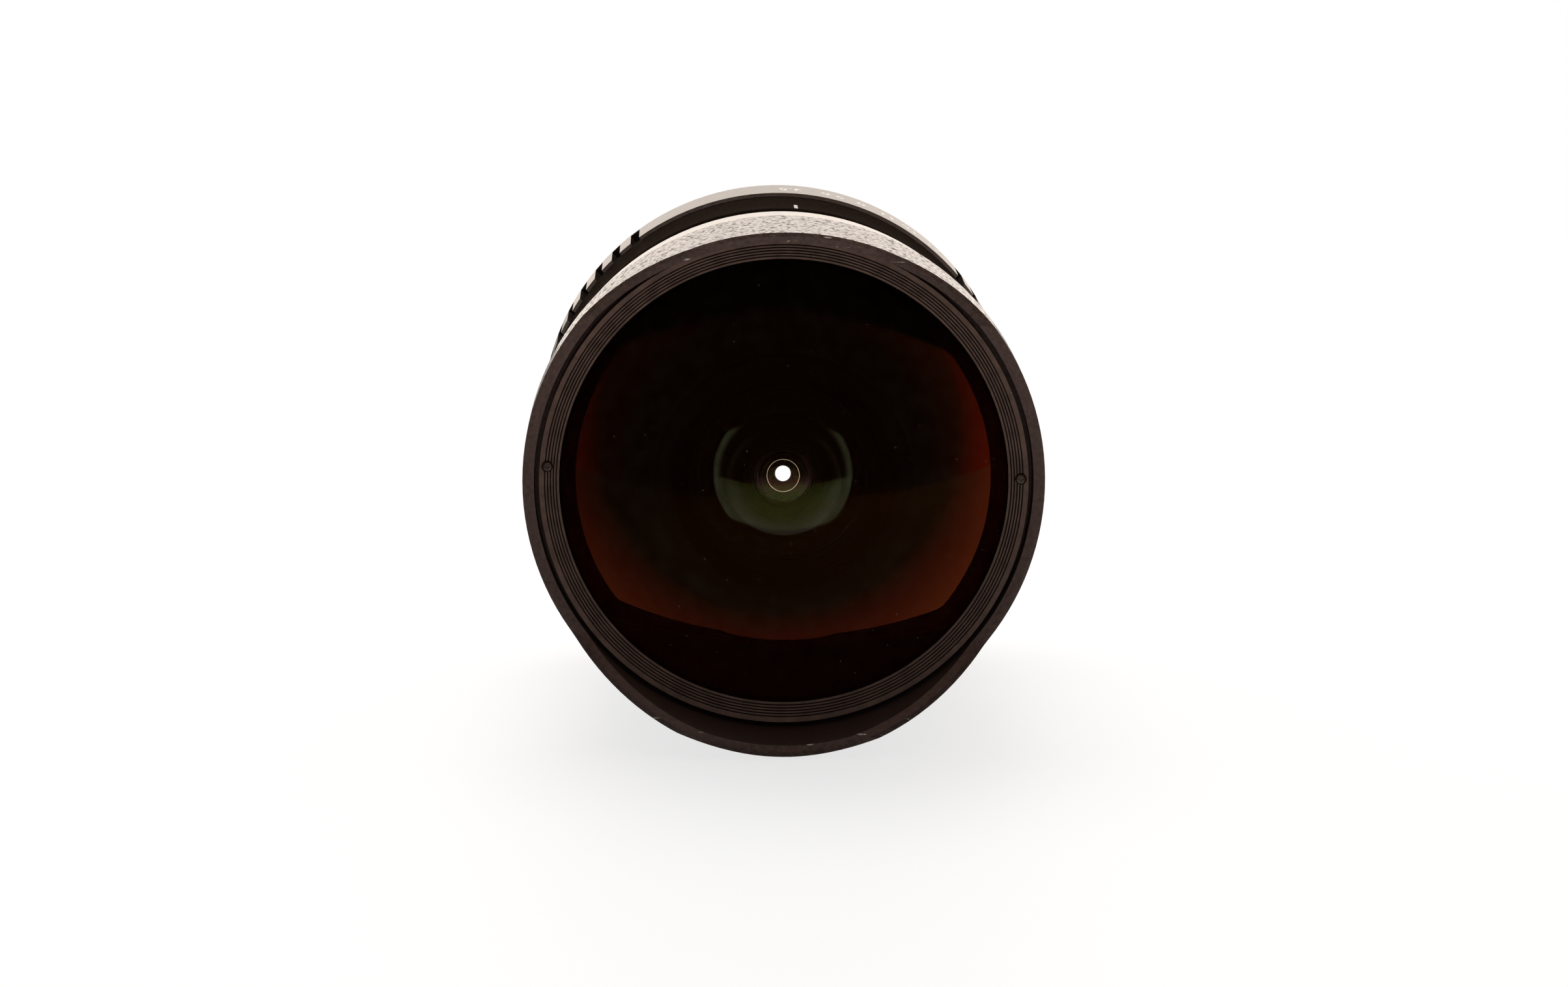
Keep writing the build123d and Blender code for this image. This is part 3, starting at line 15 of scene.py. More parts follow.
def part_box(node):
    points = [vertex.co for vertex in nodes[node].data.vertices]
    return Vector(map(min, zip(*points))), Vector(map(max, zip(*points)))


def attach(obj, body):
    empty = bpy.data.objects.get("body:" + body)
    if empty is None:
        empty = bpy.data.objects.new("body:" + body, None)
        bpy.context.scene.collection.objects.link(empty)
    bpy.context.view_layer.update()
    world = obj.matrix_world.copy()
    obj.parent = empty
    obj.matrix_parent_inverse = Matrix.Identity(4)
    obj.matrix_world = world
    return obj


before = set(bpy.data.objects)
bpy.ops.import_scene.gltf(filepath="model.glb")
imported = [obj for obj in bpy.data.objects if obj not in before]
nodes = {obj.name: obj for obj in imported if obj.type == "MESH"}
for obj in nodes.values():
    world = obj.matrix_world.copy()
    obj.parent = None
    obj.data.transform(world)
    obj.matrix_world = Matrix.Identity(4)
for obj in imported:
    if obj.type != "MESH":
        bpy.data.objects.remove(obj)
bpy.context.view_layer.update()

scene = bpy.context.scene

# %% [markdown]
# ## Sizes taken from the lens itself
# Everything added later sits on a CAD surface. Reading the boxes of the rings gives their radii and ends,
# so a figure or a line stays on its ring even if the ring changes.

# %% Measure the rings
MM = 0.001


def ring_radius(name):
    """The outer radius of a turned piece, from its box."""
    low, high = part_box(name)
    return (high.x - low.x) / 2


def ring_ends(name):
    """The front and rear of a piece along the axis."""
    low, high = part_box(name)
    return low.y, high.y


hood_radius = ring_radius("front_hood")
aperture_radius = ring_radius("aperture_ring")
tips_y, hood_rear_y = ring_ends("front_hood")
focus_rear_y = ring_ends("focus_ring")[1]
aperture_front_y, aperture_rear_y = ring_ends("aperture_ring")
print("radii in mm: hood", round(hood_radius / MM, 2), "aperture ring", round(aperture_radius / MM, 2))

# %% [markdown]
# ## The camera
# The photograph was taken from a little above the lens, from about 0.7 m. The lens was lying slightly
# rolled on its side, so here the camera, the table and the lights are rolled the other way about the
# lens's axis and the lens stays in its CAD place. Distance, focal length and the small shift were worked
# out from the ellipses of the rim and the glass, instead of being tried by eye.

# %% Place the camera
ROLL = Matrix.Rotation(math.radians(-1.72), 4, "Y")
CAMERA_ELEVATION = math.radians(9.68)
CAMERA_AZIMUTH = math.radians(1.15)
CAMERA_DISTANCE = 0.719
FOCAL_PIXELS = 7835.0
IMAGE_WIDTH = 2408.0
SENSOR_WIDTH = 36.0
SHIFT_PIXELS = (2.7, 5.4)
NEAREST_SEEN = 0.01


def studio(x, y, z):
    """A point or direction of the studio, upright on the table, in the lens's own frame."""
    return ROLL @ Vector((x, y, z))


view_line = Vector(
    (
        math.sin(CAMERA_AZIMUTH) * math.cos(CAMERA_ELEVATION),
        math.cos(CAMERA_AZIMUTH) * math.cos(CAMERA_ELEVATION),
        -math.sin(CAMERA_ELEVATION),
    )
)
view_right = Vector((math.cos(CAMERA_AZIMUTH), -math.sin(CAMERA_AZIMUTH), 0))
view_up = view_right.cross(view_line)
camera_place = Vector((0, tips_y, 0)) - CAMERA_DISTANCE * view_line
camera_data = bpy.data.cameras.new("photo_camera")
camera_data.sensor_fit = "HORIZONTAL"
camera_data.sensor_width = SENSOR_WIDTH
camera_data.lens = FOCAL_PIXELS / IMAGE_WIDTH * SENSOR_WIDTH
camera_data.shift_x = -SHIFT_PIXELS[0] / IMAGE_WIDTH
camera_data.shift_y = SHIFT_PIXELS[1] / IMAGE_WIDTH
camera_data.clip_start = NEAREST_SEEN
camera = bpy.data.objects.new("photo_camera", camera_data)
scene.collection.objects.link(camera)
upright = Matrix((view_right, view_up, -view_line)).transposed().to_4x4()
camera.matrix_world = ROLL @ (Matrix.Translation(camera_place) @ upright)
scene.camera = camera
print("camera focal length", round(camera_data.lens, 1), "mm, at", [round(c, 3) for c in camera.location])

# %% [markdown]
# ## The table
# A white board on a table. The lens rests on the rear edge of its hood and on its aperture ring, which is
# a little smaller, so the board leans by a degree and a half in the lens's frame. Its front edge is near,
# because the glass mirrors that edge: it is the straight line across the green reflection deep inside.

# %% Lay the board
BOARD_FRONT_Y = -0.275
BOARD_REAR_Y = 0.43
BOARD_HALF_WIDTH = 0.75
BOARD_THICKNESS = 0.006
lean = math.atan2(hood_radius - aperture_radius, aperture_rear_y - hood_rear_y)


def on_board(x, y, lift=0.0):
    """The point of the board's top below a place on the lens, with a lift along its normal."""
    height = -hood_radius + (y - hood_rear_y) * math.tan(lean)
    return studio(x, y - lift * math.sin(lean), height + lift * math.cos(lean))


def mesh_object(name, vertices, faces, smooth=False):
    """A new object from plain lists of vertices and faces."""
    mesh = bpy.data.meshes.new(name)
    mesh.from_pydata([tuple(v) for v in vertices], [], faces)
    mesh.update()
    if smooth:
        mesh.shade_smooth()
    piece = bpy.data.objects.new(name, mesh)
    scene.collection.objects.link(piece)
    return piece


board_corners = [(-1, BOARD_FRONT_Y), (1, BOARD_FRONT_Y), (1, BOARD_REAR_Y), (-1, BOARD_REAR_Y)]
board_points = [on_board(side * BOARD_HALF_WIDTH, y) for side, y in board_corners]
board_points += [on_board(side * BOARD_HALF_WIDTH, y, -BOARD_THICKNESS) for side, y in board_corners]
board_faces = [(0, 1, 2, 3), (7, 6, 5, 4), (0, 4, 5, 1), (1, 5, 6, 2), (2, 6, 7, 3), (3, 7, 4, 0)]
board = mesh_object("board", board_points, board_faces)
print("board leans", round(math.degrees(lean), 2), "degrees")

# %% [markdown]
# ## Building materials by hand
# A material is a small network of nodes round one shader. It could be drawn in the node editor, but a
# short class lets each finish below read as a list of what it is made of.

# %% A finish
class Finish:
    """A material with one Principled shader, and short ways to add nodes to it."""

    def __init__(self, name, color, roughness, metallic=0.0, **sockets):
        self.material = bpy.data.materials.new(name)
        self.material.use_nodes = True
        self.tree = self.material.node_tree
        self.shader = self.tree.nodes["Principled BSDF"]
        self.set(self.shader, Base_Color=(*color, 1), Roughness=roughness, Metallic=metallic, **sockets)

    def set(self, node, **sockets):
        """Sets plain values on a node; an underscore in a name stands for a space."""
        for socket, value in sockets.items():
            node.inputs[socket.replace("_", " ")].default_value = value

    def node(self, kind, **settings):
        """Adds a node with its settings."""
        made = self.tree.nodes.new(kind)
        for key, value in settings.items():
            setattr(made, key, value)
        return made

    def link(self, source, target):
        """Links an output to an input."""
        self.tree.links.new(source, target)


print("a finish has:", [name for name in vars(Finish) if not name.startswith("_")])

# %% [markdown]
# A pattern is arithmetic on sockets. Each of these helpers adds one node and gives its output, so that a
# pattern reads as a formula whose terms are sockets or plain numbers.

# %% Node helpers
def wire(tree, source, target):
    """Links an output to an input, or sets a plain value on it."""
    if isinstance(source, bpy.types.NodeSocket):
        tree.links.new(source, target)
    else:
        target.default_value = source


def math_node(tree, operation, a, b=0.0, c=0.0):
    """A math node whose inputs are sockets or numbers."""
    made = tree.nodes.new("ShaderNodeMath")
    made.operation = operation
    for source, target in zip((a, b, c), made.inputs):
        wire(tree, source, target)
    return made.outputs[0]


def mix_color(tree, factor, a, b):
    """A mix of two colours, each a socket or a plain colour."""
    made = tree.nodes.new("ShaderNodeMix")
    made.data_type = "RGBA"
    wire(tree, factor, made.inputs[0])
    wire(tree, a if isinstance(a, bpy.types.NodeSocket) else (*a, 1), made.inputs[6])
    wire(tree, b if isinstance(b, bpy.types.NodeSocket) else (*b, 1), made.inputs[7])
    return made.outputs[2]


def map_range(tree, value, from_low, from_high, to_low=0.0, to_high=1.0, smooth=False):
    """Stretches a value from one range to another, held at the ends."""
    made = tree.nodes.new("ShaderNodeMapRange")
    made.interpolation_type = "SMOOTHSTEP" if smooth else "LINEAR"
    for source, target in zip((value, from_low, from_high, to_low, to_high), made.inputs):
        wire(tree, source, target)
    return made.outputs[0]


def noise(tree, place, scale, detail, roughness=0.5):
    """A noise texture at a place; gives its value."""
    made = tree.nodes.new("ShaderNodeTexNoise")
    wire(tree, place, made.inputs["Vector"])
    wire(tree, scale, made.inputs["Scale"])
    made.inputs["Detail"].default_value = detail
    made.inputs["Roughness"].default_value = roughness
    return made.outputs[0]


print("node helpers:", [helper.__name__ for helper in (math_node, mix_color, map_range, noise)])

# %% [markdown]
# Patterns that several finishes share become node groups, built once. They are measured in millimetres
# from the centre of the mount, and some of them by the distance from the lens axis, so they keep their
# scale on every piece and stay put when a ring turns.

# %% Helpers for shared patterns
def new_group(name, inputs, outputs):
    """A shader node group with named sockets. Inputs are (name, kind, value), outputs (name, kind)."""
    group = bpy.data.node_groups.new(name, "ShaderNodeTree")
    for socket_name, kind, value in inputs:
        socket = group.interface.new_socket(socket_name, in_out="INPUT", socket_type="NodeSocket" + kind)
        socket.default_value = value
    for socket_name, kind in outputs:
        group.interface.new_socket(socket_name, in_out="OUTPUT", socket_type="NodeSocket" + kind)
    return group, group.nodes.new("NodeGroupInput").outputs, group.nodes.new("NodeGroupOutput").inputs


def millimetres(tree):
    """The place on the lens in millimetres, the same in every pose because it belongs to the object."""
    place = tree.nodes.new("ShaderNodeTexCoord").outputs["Object"]
    scaled = tree.nodes.new("ShaderNodeVectorMath")
    scaled.operation = "SCALE"
    tree.links.new(place, scaled.inputs[0])
    scaled.inputs["Scale"].default_value = 1 / MM
    return scaled.outputs[0]


def from_axis(tree, parts):
    """The distance from the lens axis, from a place split into x, y and z."""
    x_squared = math_node(tree, "MULTIPLY", parts.outputs[0], parts.outputs[0])
    z_squared = math_node(tree, "MULTIPLY", parts.outputs[2], parts.outputs[2])
    return math_node(tree, "SQRT", math_node(tree, "ADD", x_squared, z_squared))


print("pattern helpers:", [helper.__name__ for helper in (new_group, millimetres, from_axis)])

# %% [markdown]
# ## Wrinkle paint
# The hood is coated with a baked wrinkle paint: as it dries its skin buckles into worm-like ridges, less
# than a millimetre apart. Stretched noise would look like sand, so the ridges come from the borders between
# Voronoi cells, bent by noise, with a fine grain on top.

# %% Node group: wrinkles
BENDS_PER_MM = 0.8
BEND_REACH = (1.1, 1.1, 1.1)
CELL_SOFTNESS = 0.35
RIDGE_FALLS = (0.15, 0.75)
VALLEY_RISES = (0.45, 0.8)
FINE_GRAIN = (9.0, 3.0, 0.6)
wrinkles, given, result = new_group(
    "wrinkle_skin",
    [("Cells per mm", "Float", 1.0), ("Grain", "Float", 0.2)],
    [("Height", "Float"), ("Valley", "Float")],
)
place = millimetres(wrinkles)
bend = wrinkles.nodes.new("ShaderNodeTexNoise")
bend.inputs["Scale"].default_value = BENDS_PER_MM
bend.inputs["Detail"].default_value = 1.0
wrinkles.links.new(place, bend.inputs["Vector"])
bent = wrinkles.nodes.new("ShaderNodeVectorMath")
bent.operation = "MULTIPLY_ADD"
wrinkles.links.new(bend.outputs["Color"], bent.inputs[0])
bent.inputs[1].default_value = BEND_REACH
wrinkles.links.new(place, bent.inputs[2])
cells = wrinkles.nodes.new("ShaderNodeTexVoronoi")
cells.feature = "SMOOTH_F1"
cells.inputs["Smoothness"].default_value = CELL_SOFTNESS
wrinkles.links.new(bent.outputs[0], cells.inputs["Vector"])
wrinkles.links.new(given["Cells per mm"], cells.inputs["Scale"])
from_middle = cells.outputs["Distance"]
ridge = map_range(wrinkles, from_middle, *RIDGE_FALLS, 1.0, 0.0, smooth=True)
grain_share = math_node(wrinkles, "MULTIPLY", noise(wrinkles, place, *FINE_GRAIN), given["Grain"])
wrinkles.links.new(math_node(wrinkles, "ADD", ridge, grain_share), result["Height"])
wrinkles.links.new(map_range(wrinkles, from_middle, *VALLEY_RISES, smooth=True), result["Valley"])
print("group", wrinkles.name, "gives", [socket.name for socket in result if socket.name])

# %% [markdown]
# ## Fine surface life
# Machined and moulded surfaces are never even. One group gives slow variations that other finishes share:
# a mottled tone, specks of dust, and turned lines that run round the lens axis as a lathe leaves them.
# The lines are noise that knows only the distance from the axis and the place along it.

# %% Node group: surface life
MOTTLE_DETAIL = (4.0, 0.6)
LINE_DETAIL = (2.0, 0.7)
SPECKS_PER_MM = 0.9
CLEAN_SHARE = 0.6
LARGEST_SPECK = 0.09
life, given, result = new_group(
    "surface_life",
    [("Mottle per mm", "Float", 0.4), ("Lines per mm", "Float", 8.0), ("Dust amount", "Float", 0.5)],
    [("Mottle", "Float"), ("Lines", "Float"), ("Dust", "Float")],
)
place = millimetres(life)
life.links.new(noise(life, place, given["Mottle per mm"], *MOTTLE_DETAIL), result["Mottle"])
parts = life.nodes.new("ShaderNodeSeparateXYZ")
life.links.new(place, parts.inputs[0])
lathe_place = life.nodes.new("ShaderNodeCombineXYZ")
life.links.new(from_axis(life, parts), lathe_place.inputs[0])
life.links.new(parts.outputs[1], lathe_place.inputs[1])
life.links.new(noise(life, lathe_place.outputs[0], given["Lines per mm"], *LINE_DETAIL), result["Lines"])
specks = life.nodes.new("ShaderNodeTexVoronoi")
specks.inputs["Scale"].default_value = SPECKS_PER_MM
life.links.new(place, specks.inputs["Vector"])
tone = life.nodes.new("ShaderNodeSeparateColor")
life.links.new(specks.outputs["Color"], tone.inputs[0])
speck_size = map_range(life, tone.outputs[0], CLEAN_SHARE, 1.0, 0.0, LARGEST_SPECK)
near_speck = math_node(life, "LESS_THAN", specks.outputs["Distance"], speck_size)
life.links.new(math_node(life, "MULTIPLY", near_speck, given["Dust amount"]), result["Dust"])
print("group", life.name, "gives", [socket.name for socket in result if socket.name])

# %% [markdown]
# ## Rubbed edges
# Years of caps going on and off have rubbed the paint through in short dashes on the inner edge of the
# hood. The group marks a narrow band round the axis, given by its radius and its place along the axis,
# and breaks it up with noise that is stretched along the rim.

# %% Node group: rubbed edge
DASHES_ROUND = 9.0
DASHES_ALONG = 1.6
DASH_DETAIL = (5.0, 0.65)
WORN_THROUGH = (1.0, 1.03)
rubbed, given, result = new_group(
    "rubbed_edge",
    [
        ("Band start", "Float", -77.5),
        ("Band end", "Float", -75.0),
        ("Smallest radius", "Float", 34.0),
        ("Share", "Float", 0.4),
    ],
    [("Rubbed", "Float")],
)
parts = rubbed.nodes.new("ShaderNodeSeparateXYZ")
rubbed.links.new(millimetres(rubbed), parts.inputs[0])
round_angle = math_node(rubbed, "ARCTAN2", parts.outputs[0], parts.outputs[2])
dash_place = rubbed.nodes.new("ShaderNodeCombineXYZ")
rubbed.links.new(math_node(rubbed, "MULTIPLY", round_angle, DASHES_ROUND), dash_place.inputs[0])
rubbed.links.new(math_node(rubbed, "MULTIPLY", parts.outputs[1], DASHES_ALONG), dash_place.inputs[1])
dashes = noise(rubbed, dash_place.outputs[0], 1.0, *DASH_DETAIL)
worn = map_range(rubbed, math_node(rubbed, "ADD", dashes, given["Share"]), *WORN_THROUGH)
behind_start = math_node(rubbed, "GREATER_THAN", parts.outputs[1], given["Band start"])
before_end = math_node(rubbed, "LESS_THAN", parts.outputs[1], given["Band end"])
between = math_node(rubbed, "MULTIPLY", behind_start, before_end)
far_out = math_node(rubbed, "GREATER_THAN", from_axis(rubbed, parts), given["Smallest radius"])
in_band = math_node(rubbed, "MULTIPLY", between, far_out)
rubbed.links.new(math_node(rubbed, "MULTIPLY", worn, in_band), result["Rubbed"])
print("group", rubbed.name, "gives", [socket.name for socket in result if socket.name])

# %% [markdown]
# ## A painted metal
# Every coated piece shares one recipe: a dark coat whose tone drifts a little, roughness that follows the
# same drift, and a bump. The caller says how strong each is, so paint, enamel and anodising differ in
# numbers rather than in networks.

# %% Recipe: dark coat
DUST_COLOR = (0.35, 0.33, 0.3)
RUBBED_METAL = (0.42, 0.4, 0.38)
TONE_FOLLOWS = (0.35, 0.65)
ROUGHNESS_FOLLOWS = (0.3, 0.7)
LIGHTEST_ADDS = 0.004


def dark_coat(
    name,
    color,
    roughness,
    mottle=0.4,
    lines=8.0,
    line_depth=0.02,
    dust=0.3,
    spread=0.25,
    drift=0.15,
    bump=0.4,
    **sockets,
):
    """A dark even coat with drifting tone, lathe lines under it and a little dust."""
    finish = Finish(name, color, roughness, **sockets)
    tree = finish.tree
    group = finish.node("ShaderNodeGroup", node_tree=life)
    finish.set(group, Mottle_per_mm=mottle, Lines_per_mm=lines, Dust_amount=dust)
    lighter = tuple(min(1.0, c * (1 + spread) + LIGHTEST_ADDS) for c in color)
    darker = tuple(c * (1 - spread) for c in color)
    toned = mix_color(tree, map_range(tree, group.outputs["Mottle"], *TONE_FOLLOWS), darker, lighter)
    dusted = mix_color(tree, group.outputs["Dust"], toned, DUST_COLOR)
    finish.link(dusted, finish.shader.inputs["Base Color"])
    rough_ends = (roughness * (1 - drift), roughness * (1 + drift))
    rough = map_range(tree, group.outputs["Mottle"], *ROUGHNESS_FOLLOWS, *rough_ends)
    finish.link(rough, finish.shader.inputs["Roughness"])
    bump_node = finish.node("ShaderNodeBump")
    finish.set(bump_node, Strength=bump, Distance=line_depth * MM)
    finish.link(group.outputs["Lines"], bump_node.inputs["Height"])
    finish.link(bump_node.outputs[0], finish.shader.inputs["Normal"])
    return finish


def rub_through(finish, start, end, smallest_radius, share):
    """Lets the metal under the paint show in dashes along a band."""
    group = finish.node("ShaderNodeGroup", node_tree=rubbed)
    finish.set(group, Band_start=start, Band_end=end, Smallest_radius=smallest_radius, Share=share)
    socket = finish.shader.inputs["Base Color"]
    painted = socket.links[0].from_socket
    finish.link(mix_color(finish.tree, group.outputs["Rubbed"], painted, RUBBED_METAL), socket)


print("recipes:", dark_coat.__name__, rub_through.__name__)

# %% [markdown]
# The wrinkle paint has a recipe of its own. The ridges are glossy under a clear coat. The valleys are
# rougher and lose the coat, and their colour is darkened as painted shade, which gives the sparkle of bright
# worms on a dull ground.

# %% Recipe: wrinkle coat
WRINKLE_GRAIN = 0.22
VALLEY_PAINTED_SHADE = 0.4
VALLEY_ROUGHER = 0.5
VALLEY_COAT = 0.15


def wrinkle_coat(name, color, roughness, cells, depth, **sockets):
    """The wrinkle paint: ridges as bump, and valleys that are rougher and darkened by painted shade."""
    finish = Finish(name, color, roughness, **sockets)
    tree = finish.tree
    group = finish.node("ShaderNodeGroup", node_tree=wrinkles)
    finish.set(group, Cells_per_mm=cells, Grain=WRINKLE_GRAIN)
    valley = group.outputs["Valley"]
    # Painted shade: the valley colour is darkened, standing in for shade in the wrinkle hollows.
    toned = mix_color(tree, valley, color, tuple(c * VALLEY_PAINTED_SHADE for c in color))
    rough = map_range(tree, valley, 0, 1, roughness, roughness + VALLEY_ROUGHER)
    coat = map_range(tree, valley, 0, 1, 1.0, VALLEY_COAT)
    finish.link(toned, finish.shader.inputs["Base Color"])
    finish.link(rough, finish.shader.inputs["Roughness"])
    finish.link(coat, finish.shader.inputs["Coat Weight"])
    bump_node = finish.node("ShaderNodeBump")
    finish.set(bump_node, Strength=1.0, Distance=depth * MM)
    finish.link(group.outputs["Height"], bump_node.inputs["Height"])
    finish.link(bump_node.outputs[0], finish.shader.inputs["Normal"])
    return finish


print("recipe:", wrinkle_coat.__name__)

# %% [markdown]
# ## Dressing the CAD pieces
# A CAD mesh keeps its shape, so a piece with two finishes can't be cut in two. Instead it gets two material
# slots, and a test on each face says which of the two it wears.

# %% Put finishes on pieces
def wearing(names, *finishes):
    """Gives CAD pieces one or more finishes; the first covers every face until faces are picked out."""
    for name in names:
        slots = nodes[name].data.materials
        slots.clear()
        for finish in finishes:
            slots.append(finish.material)


def pick_faces(name, slot, chosen):
    """Puts another finish of a CAD piece on the faces that a test picks; the mesh keeps its shape."""
    count = 0
    for face in nodes[name].data.polygons:
        if chosen(face, math.hypot(face.center.x, face.center.z)):
            face.material_index = slot
            count += 1
    return count


def faces_outward(face, radius):
    """How far a face looks away from the axis, from -1 to 1."""
    return (face.normal.x * face.center.x + face.normal.z * face.center.z) / max(radius, 1e-9)


print("ready to dress", len(nodes), "pieces")

# %% [markdown]
# ## The hood
# The outside of the hood has the wrinkle paint. Its tips and its inside have a plain warm black, brushed on
# thinly, so they get a second finish by which way each face points. Caps have rubbed the inner edge.

# %% Paint the hood
OUTSIDE_FROM = 0.4
RUBBED_BAND = (0.4, 3.6)
RUBBED_RADIUS = 34.0
RUBBED_SHARE = 0.36
hood_paint = wrinkle_coat(
    "hood_wrinkle_paint",
    (0.045, 0.036, 0.031),
    0.22,
    cells=1.7,
    depth=0.28,
    IOR=1.5,
    Coat_Weight=1.0,
    Coat_Roughness=0.08,
)
hood_inside = dark_coat("hood_inside_black", (0.045, 0.031, 0.027), 0.5, mottle=1.5, lines=12.0, dust=0.2)
rub_start, rub_end = (tips_y / MM + reach for reach in RUBBED_BAND)
rub_through(hood_inside, rub_start, rub_end, RUBBED_RADIUS, RUBBED_SHARE)
wearing(["front_hood"], hood_paint, hood_inside)
inner_faces = pick_faces("front_hood", 1, lambda face, radius: faces_outward(face, radius) < OUTSIDE_FROM)
print("inner faces of the hood:", inner_faces)

# %% [markdown]
# ## Rings and barrel
# The rear band of the focusing ring and the aperture ring are smooth enamel, so seen flatly they mirror the
# white backdrop and turn almost white. The barrel between them is dead matt and stays black: its index of
# refraction is set close to 1, because even rough paint would glare at such a flat angle.

# %% Paint the rings
ring_paint = dark_coat(
    "ring_paint", (0.03, 0.022, 0.018), 0.16, mottle=0.8, lines=5.0, line_depth=0.006, dust=0.15
)
focus_paint = dark_coat(
    "focus_ring_paint",
    (0.03, 0.024, 0.02),
    0.14,
    mottle=0.8,
    lines=5.0,
    line_depth=0.004,
    dust=0.15,
    Coat_Weight=1.0,
)
barrel_enamel = dark_coat(
    "barrel_matt_black",
    (0.014, 0.008, 0.005),
    0.4,
    mottle=1.5,
    lines=4.0,
    line_depth=0.005,
    dust=0.05,
    spread=0.12,
    IOR=1.006,
)
inside_black = dark_coat("inside_black", (0.003, 0.002, 0.0015), 0.6, lines=10.0, dust=0.0, IOR=1.15)
anodised = dark_coat("anodised_black", (0.02, 0.02, 0.022), 0.38, lines=10.0, dust=0.0)
INNER_CELLS = ["front_cell", "focus_carriage", "inner_barrel", "rear_spacer", "iris_plate", "iris_retainer"]
wearing(["aperture_ring"], ring_paint)
wearing(["focus_ring"], focus_paint)
wearing(["main_barrel"], barrel_enamel)
wearing(["mount_base", "rear_cell", "rear_mask"], anodised)
wearing(INNER_CELLS, inside_black)
ring_finishes = (ring_paint, focus_paint, barrel_enamel, inside_black, anodised)
print("ring finishes:", [finish.material.name for finish in ring_finishes])

# %% [markdown]
# ## The grooved ring
# Fine grooves are turned into the sloping face of the ring round the dome, to break up glare. They are real
# cuts in the CAD model, and the paint in them is rougher, with painted shade that makes it much darker. A
# face belongs to a groove if it lies deeper than the slope, which is measured from the mesh's own points.

# %% Paint the grooved ring
GROOVE_SHALLOW = 0.04 * MM
GROOVE_DEEP = 0.4 * MM
GROOVES_FROM_RIM = (0.6 * MM, 2.66 * MM)
baffle_black = dark_coat("baffle_black", (0.055, 0.036, 0.028), 0.5, lines=14.0)
# Painted shade: the groove faces get a near-black colour that stands in for shade in the cuts.
groove_painted_shade = dark_coat("groove_painted_shade", (0.004, 0.002, 0.0015), 0.8, lines=14.0, dust=0.1)
wearing(["baffle_ring"], baffle_black, groove_painted_shade)
baffle_rim = ring_radius("baffle_ring")
baffle_places = [(math.hypot(v.co.x, v.co.z), v.co.y) for v in nodes["baffle_ring"].data.vertices]
baffle_lip = min(radius for radius, y in baffle_places)
face_at_rim = min(y for radius, y in baffle_places)
face_at_lip = min(y for radius, y in baffle_places if radius < baffle_lip + GROOVE_SHALLOW)
baffle_slope = (face_at_lip - face_at_rim) / (baffle_rim - baffle_lip)


def in_groove(face, radius):
    """Whether a face of the grooved ring lies below its sloping front, where the grooves are."""
    from_rim = baffle_rim - radius
    depth = face.center.y - (face_at_rim + baffle_slope * from_rim)
    return GROOVES_FROM_RIM[0] < from_rim < GROOVES_FROM_RIM[1] and GROOVE_SHALLOW < depth < GROOVE_DEEP


print("groove faces:", pick_faces("baffle_ring", 1, in_groove))

# %% [markdown]
# ## Bare metals, rubber and plastic
# The rest of the metalwork: satin chrome on the bayonet, brass inside, blackened steel blades. Metals take
# their colour from Base Color at Metallic 1, and lathe lines make the reflections stretch round the axis.
# The ring deep in the glass is brass only near its hole, as the pale ring round the bright spot shows, and
# black outside it.

# %% Metals and rubber
BRIGHT_RADIUS = 5.8 * MM


def bare_metal(name, color, roughness, lines=12.0):
    """A turned metal surface with fine lines and a slightly uneven polish."""
    even = {"mottle": 1.5, "dust": 0.0, "spread": 0.03, "drift": 0.06}
    return dark_coat(name, color, roughness, lines=lines, metallic=1.0, **even)


chrome = bare_metal("satin_chrome", (0.72, 0.71, 0.69), 0.2, lines=16.0)
brass = bare_metal("turned_brass", (0.72, 0.5, 0.22), 0.28)
steel = bare_metal("screw_steel", (0.5, 0.5, 0.5), 0.25)
black_steel = bare_metal("blackened_steel", (0.2, 0.17, 0.15), 0.35)
blade_steel = bare_metal("blade_steel", (0.05, 0.05, 0.055), 0.42, lines=3.0)
grip_rubber = dark_coat(
    "grip_rubber", (0.018, 0.018, 0.018), 0.62, mottle=2.0, lines=20.0, line_depth=0.03, dust=0.6
)
seal_rubber = dark_coat("seal_rubber", (0.012, 0.012, 0.012), 0.7, dust=0.0)
index_red = dark_coat("index_red", (0.55, 0.02, 0.02), 0.25, dust=0.2, spread=0.1)
wearing(["mount_flange"], chrome)
wearing(["cam_followers", "pair_retainer", "iris_cam_ring", "rear_retainer"], brass)
wearing(["carriage_retainer"], brass, inside_black)
pick_faces("carriage_retainer", 1, lambda face, radius: radius > BRIGHT_RADIUS)
wearing(["mount_screws", "inner_barrel_screws", "click_ball", "aperture_link"], steel)
wearing(["baffle_screws"], black_steel)
wearing(["iris_washer", "click_spring"] + [n for n in nodes if n.startswith("iris_blade")], blade_steel)
wearing(["focus_grip"], grip_rubber)
wearing(["dome_seal"], seal_rubber)
wearing(["mount_index_dot"], index_red)
metals = (chrome, brass, steel, black_steel, blade_steel)
print("metals:", [finish.material.name for finish in metals])

# %% [markdown]
# ## Laying figures on a round ring
# Flat text would cut into a round ring. A shrinkwrap modifier could bend it, but would leave its thickness
# to chance. Instead each figure is turned into a mesh, and every point of it is laid on the surface that a
# ray toward the axis finds there: raised by a coat of paint, or sunk a little as a root.

# %% Lay flat meshes on a ring
FIGURE_RELIEF = 0.012 * MM
FIGURE_ROOT = 0.12 * MM
BEYOND_SURFACE = 1.2
figure_white = dark_coat(
    "figure_white", (0.88, 0.87, 0.84), 0.12, mottle=3.0, lines=20.0, dust=0.3, spread=0.04
)


def surface_of(name):
    """A CAD piece's surface, in a form that rays can be cast at."""
    mesh = nodes[name].data
    corners = [v.co.copy() for v in mesh.vertices]
    return BVHTree.FromPolygons(corners, [tuple(face.vertices) for face in mesh.polygons])


surfaces = {name: surface_of(name) for name in ("aperture_ring", "focus_ring", "main_barrel", "front_hood")}


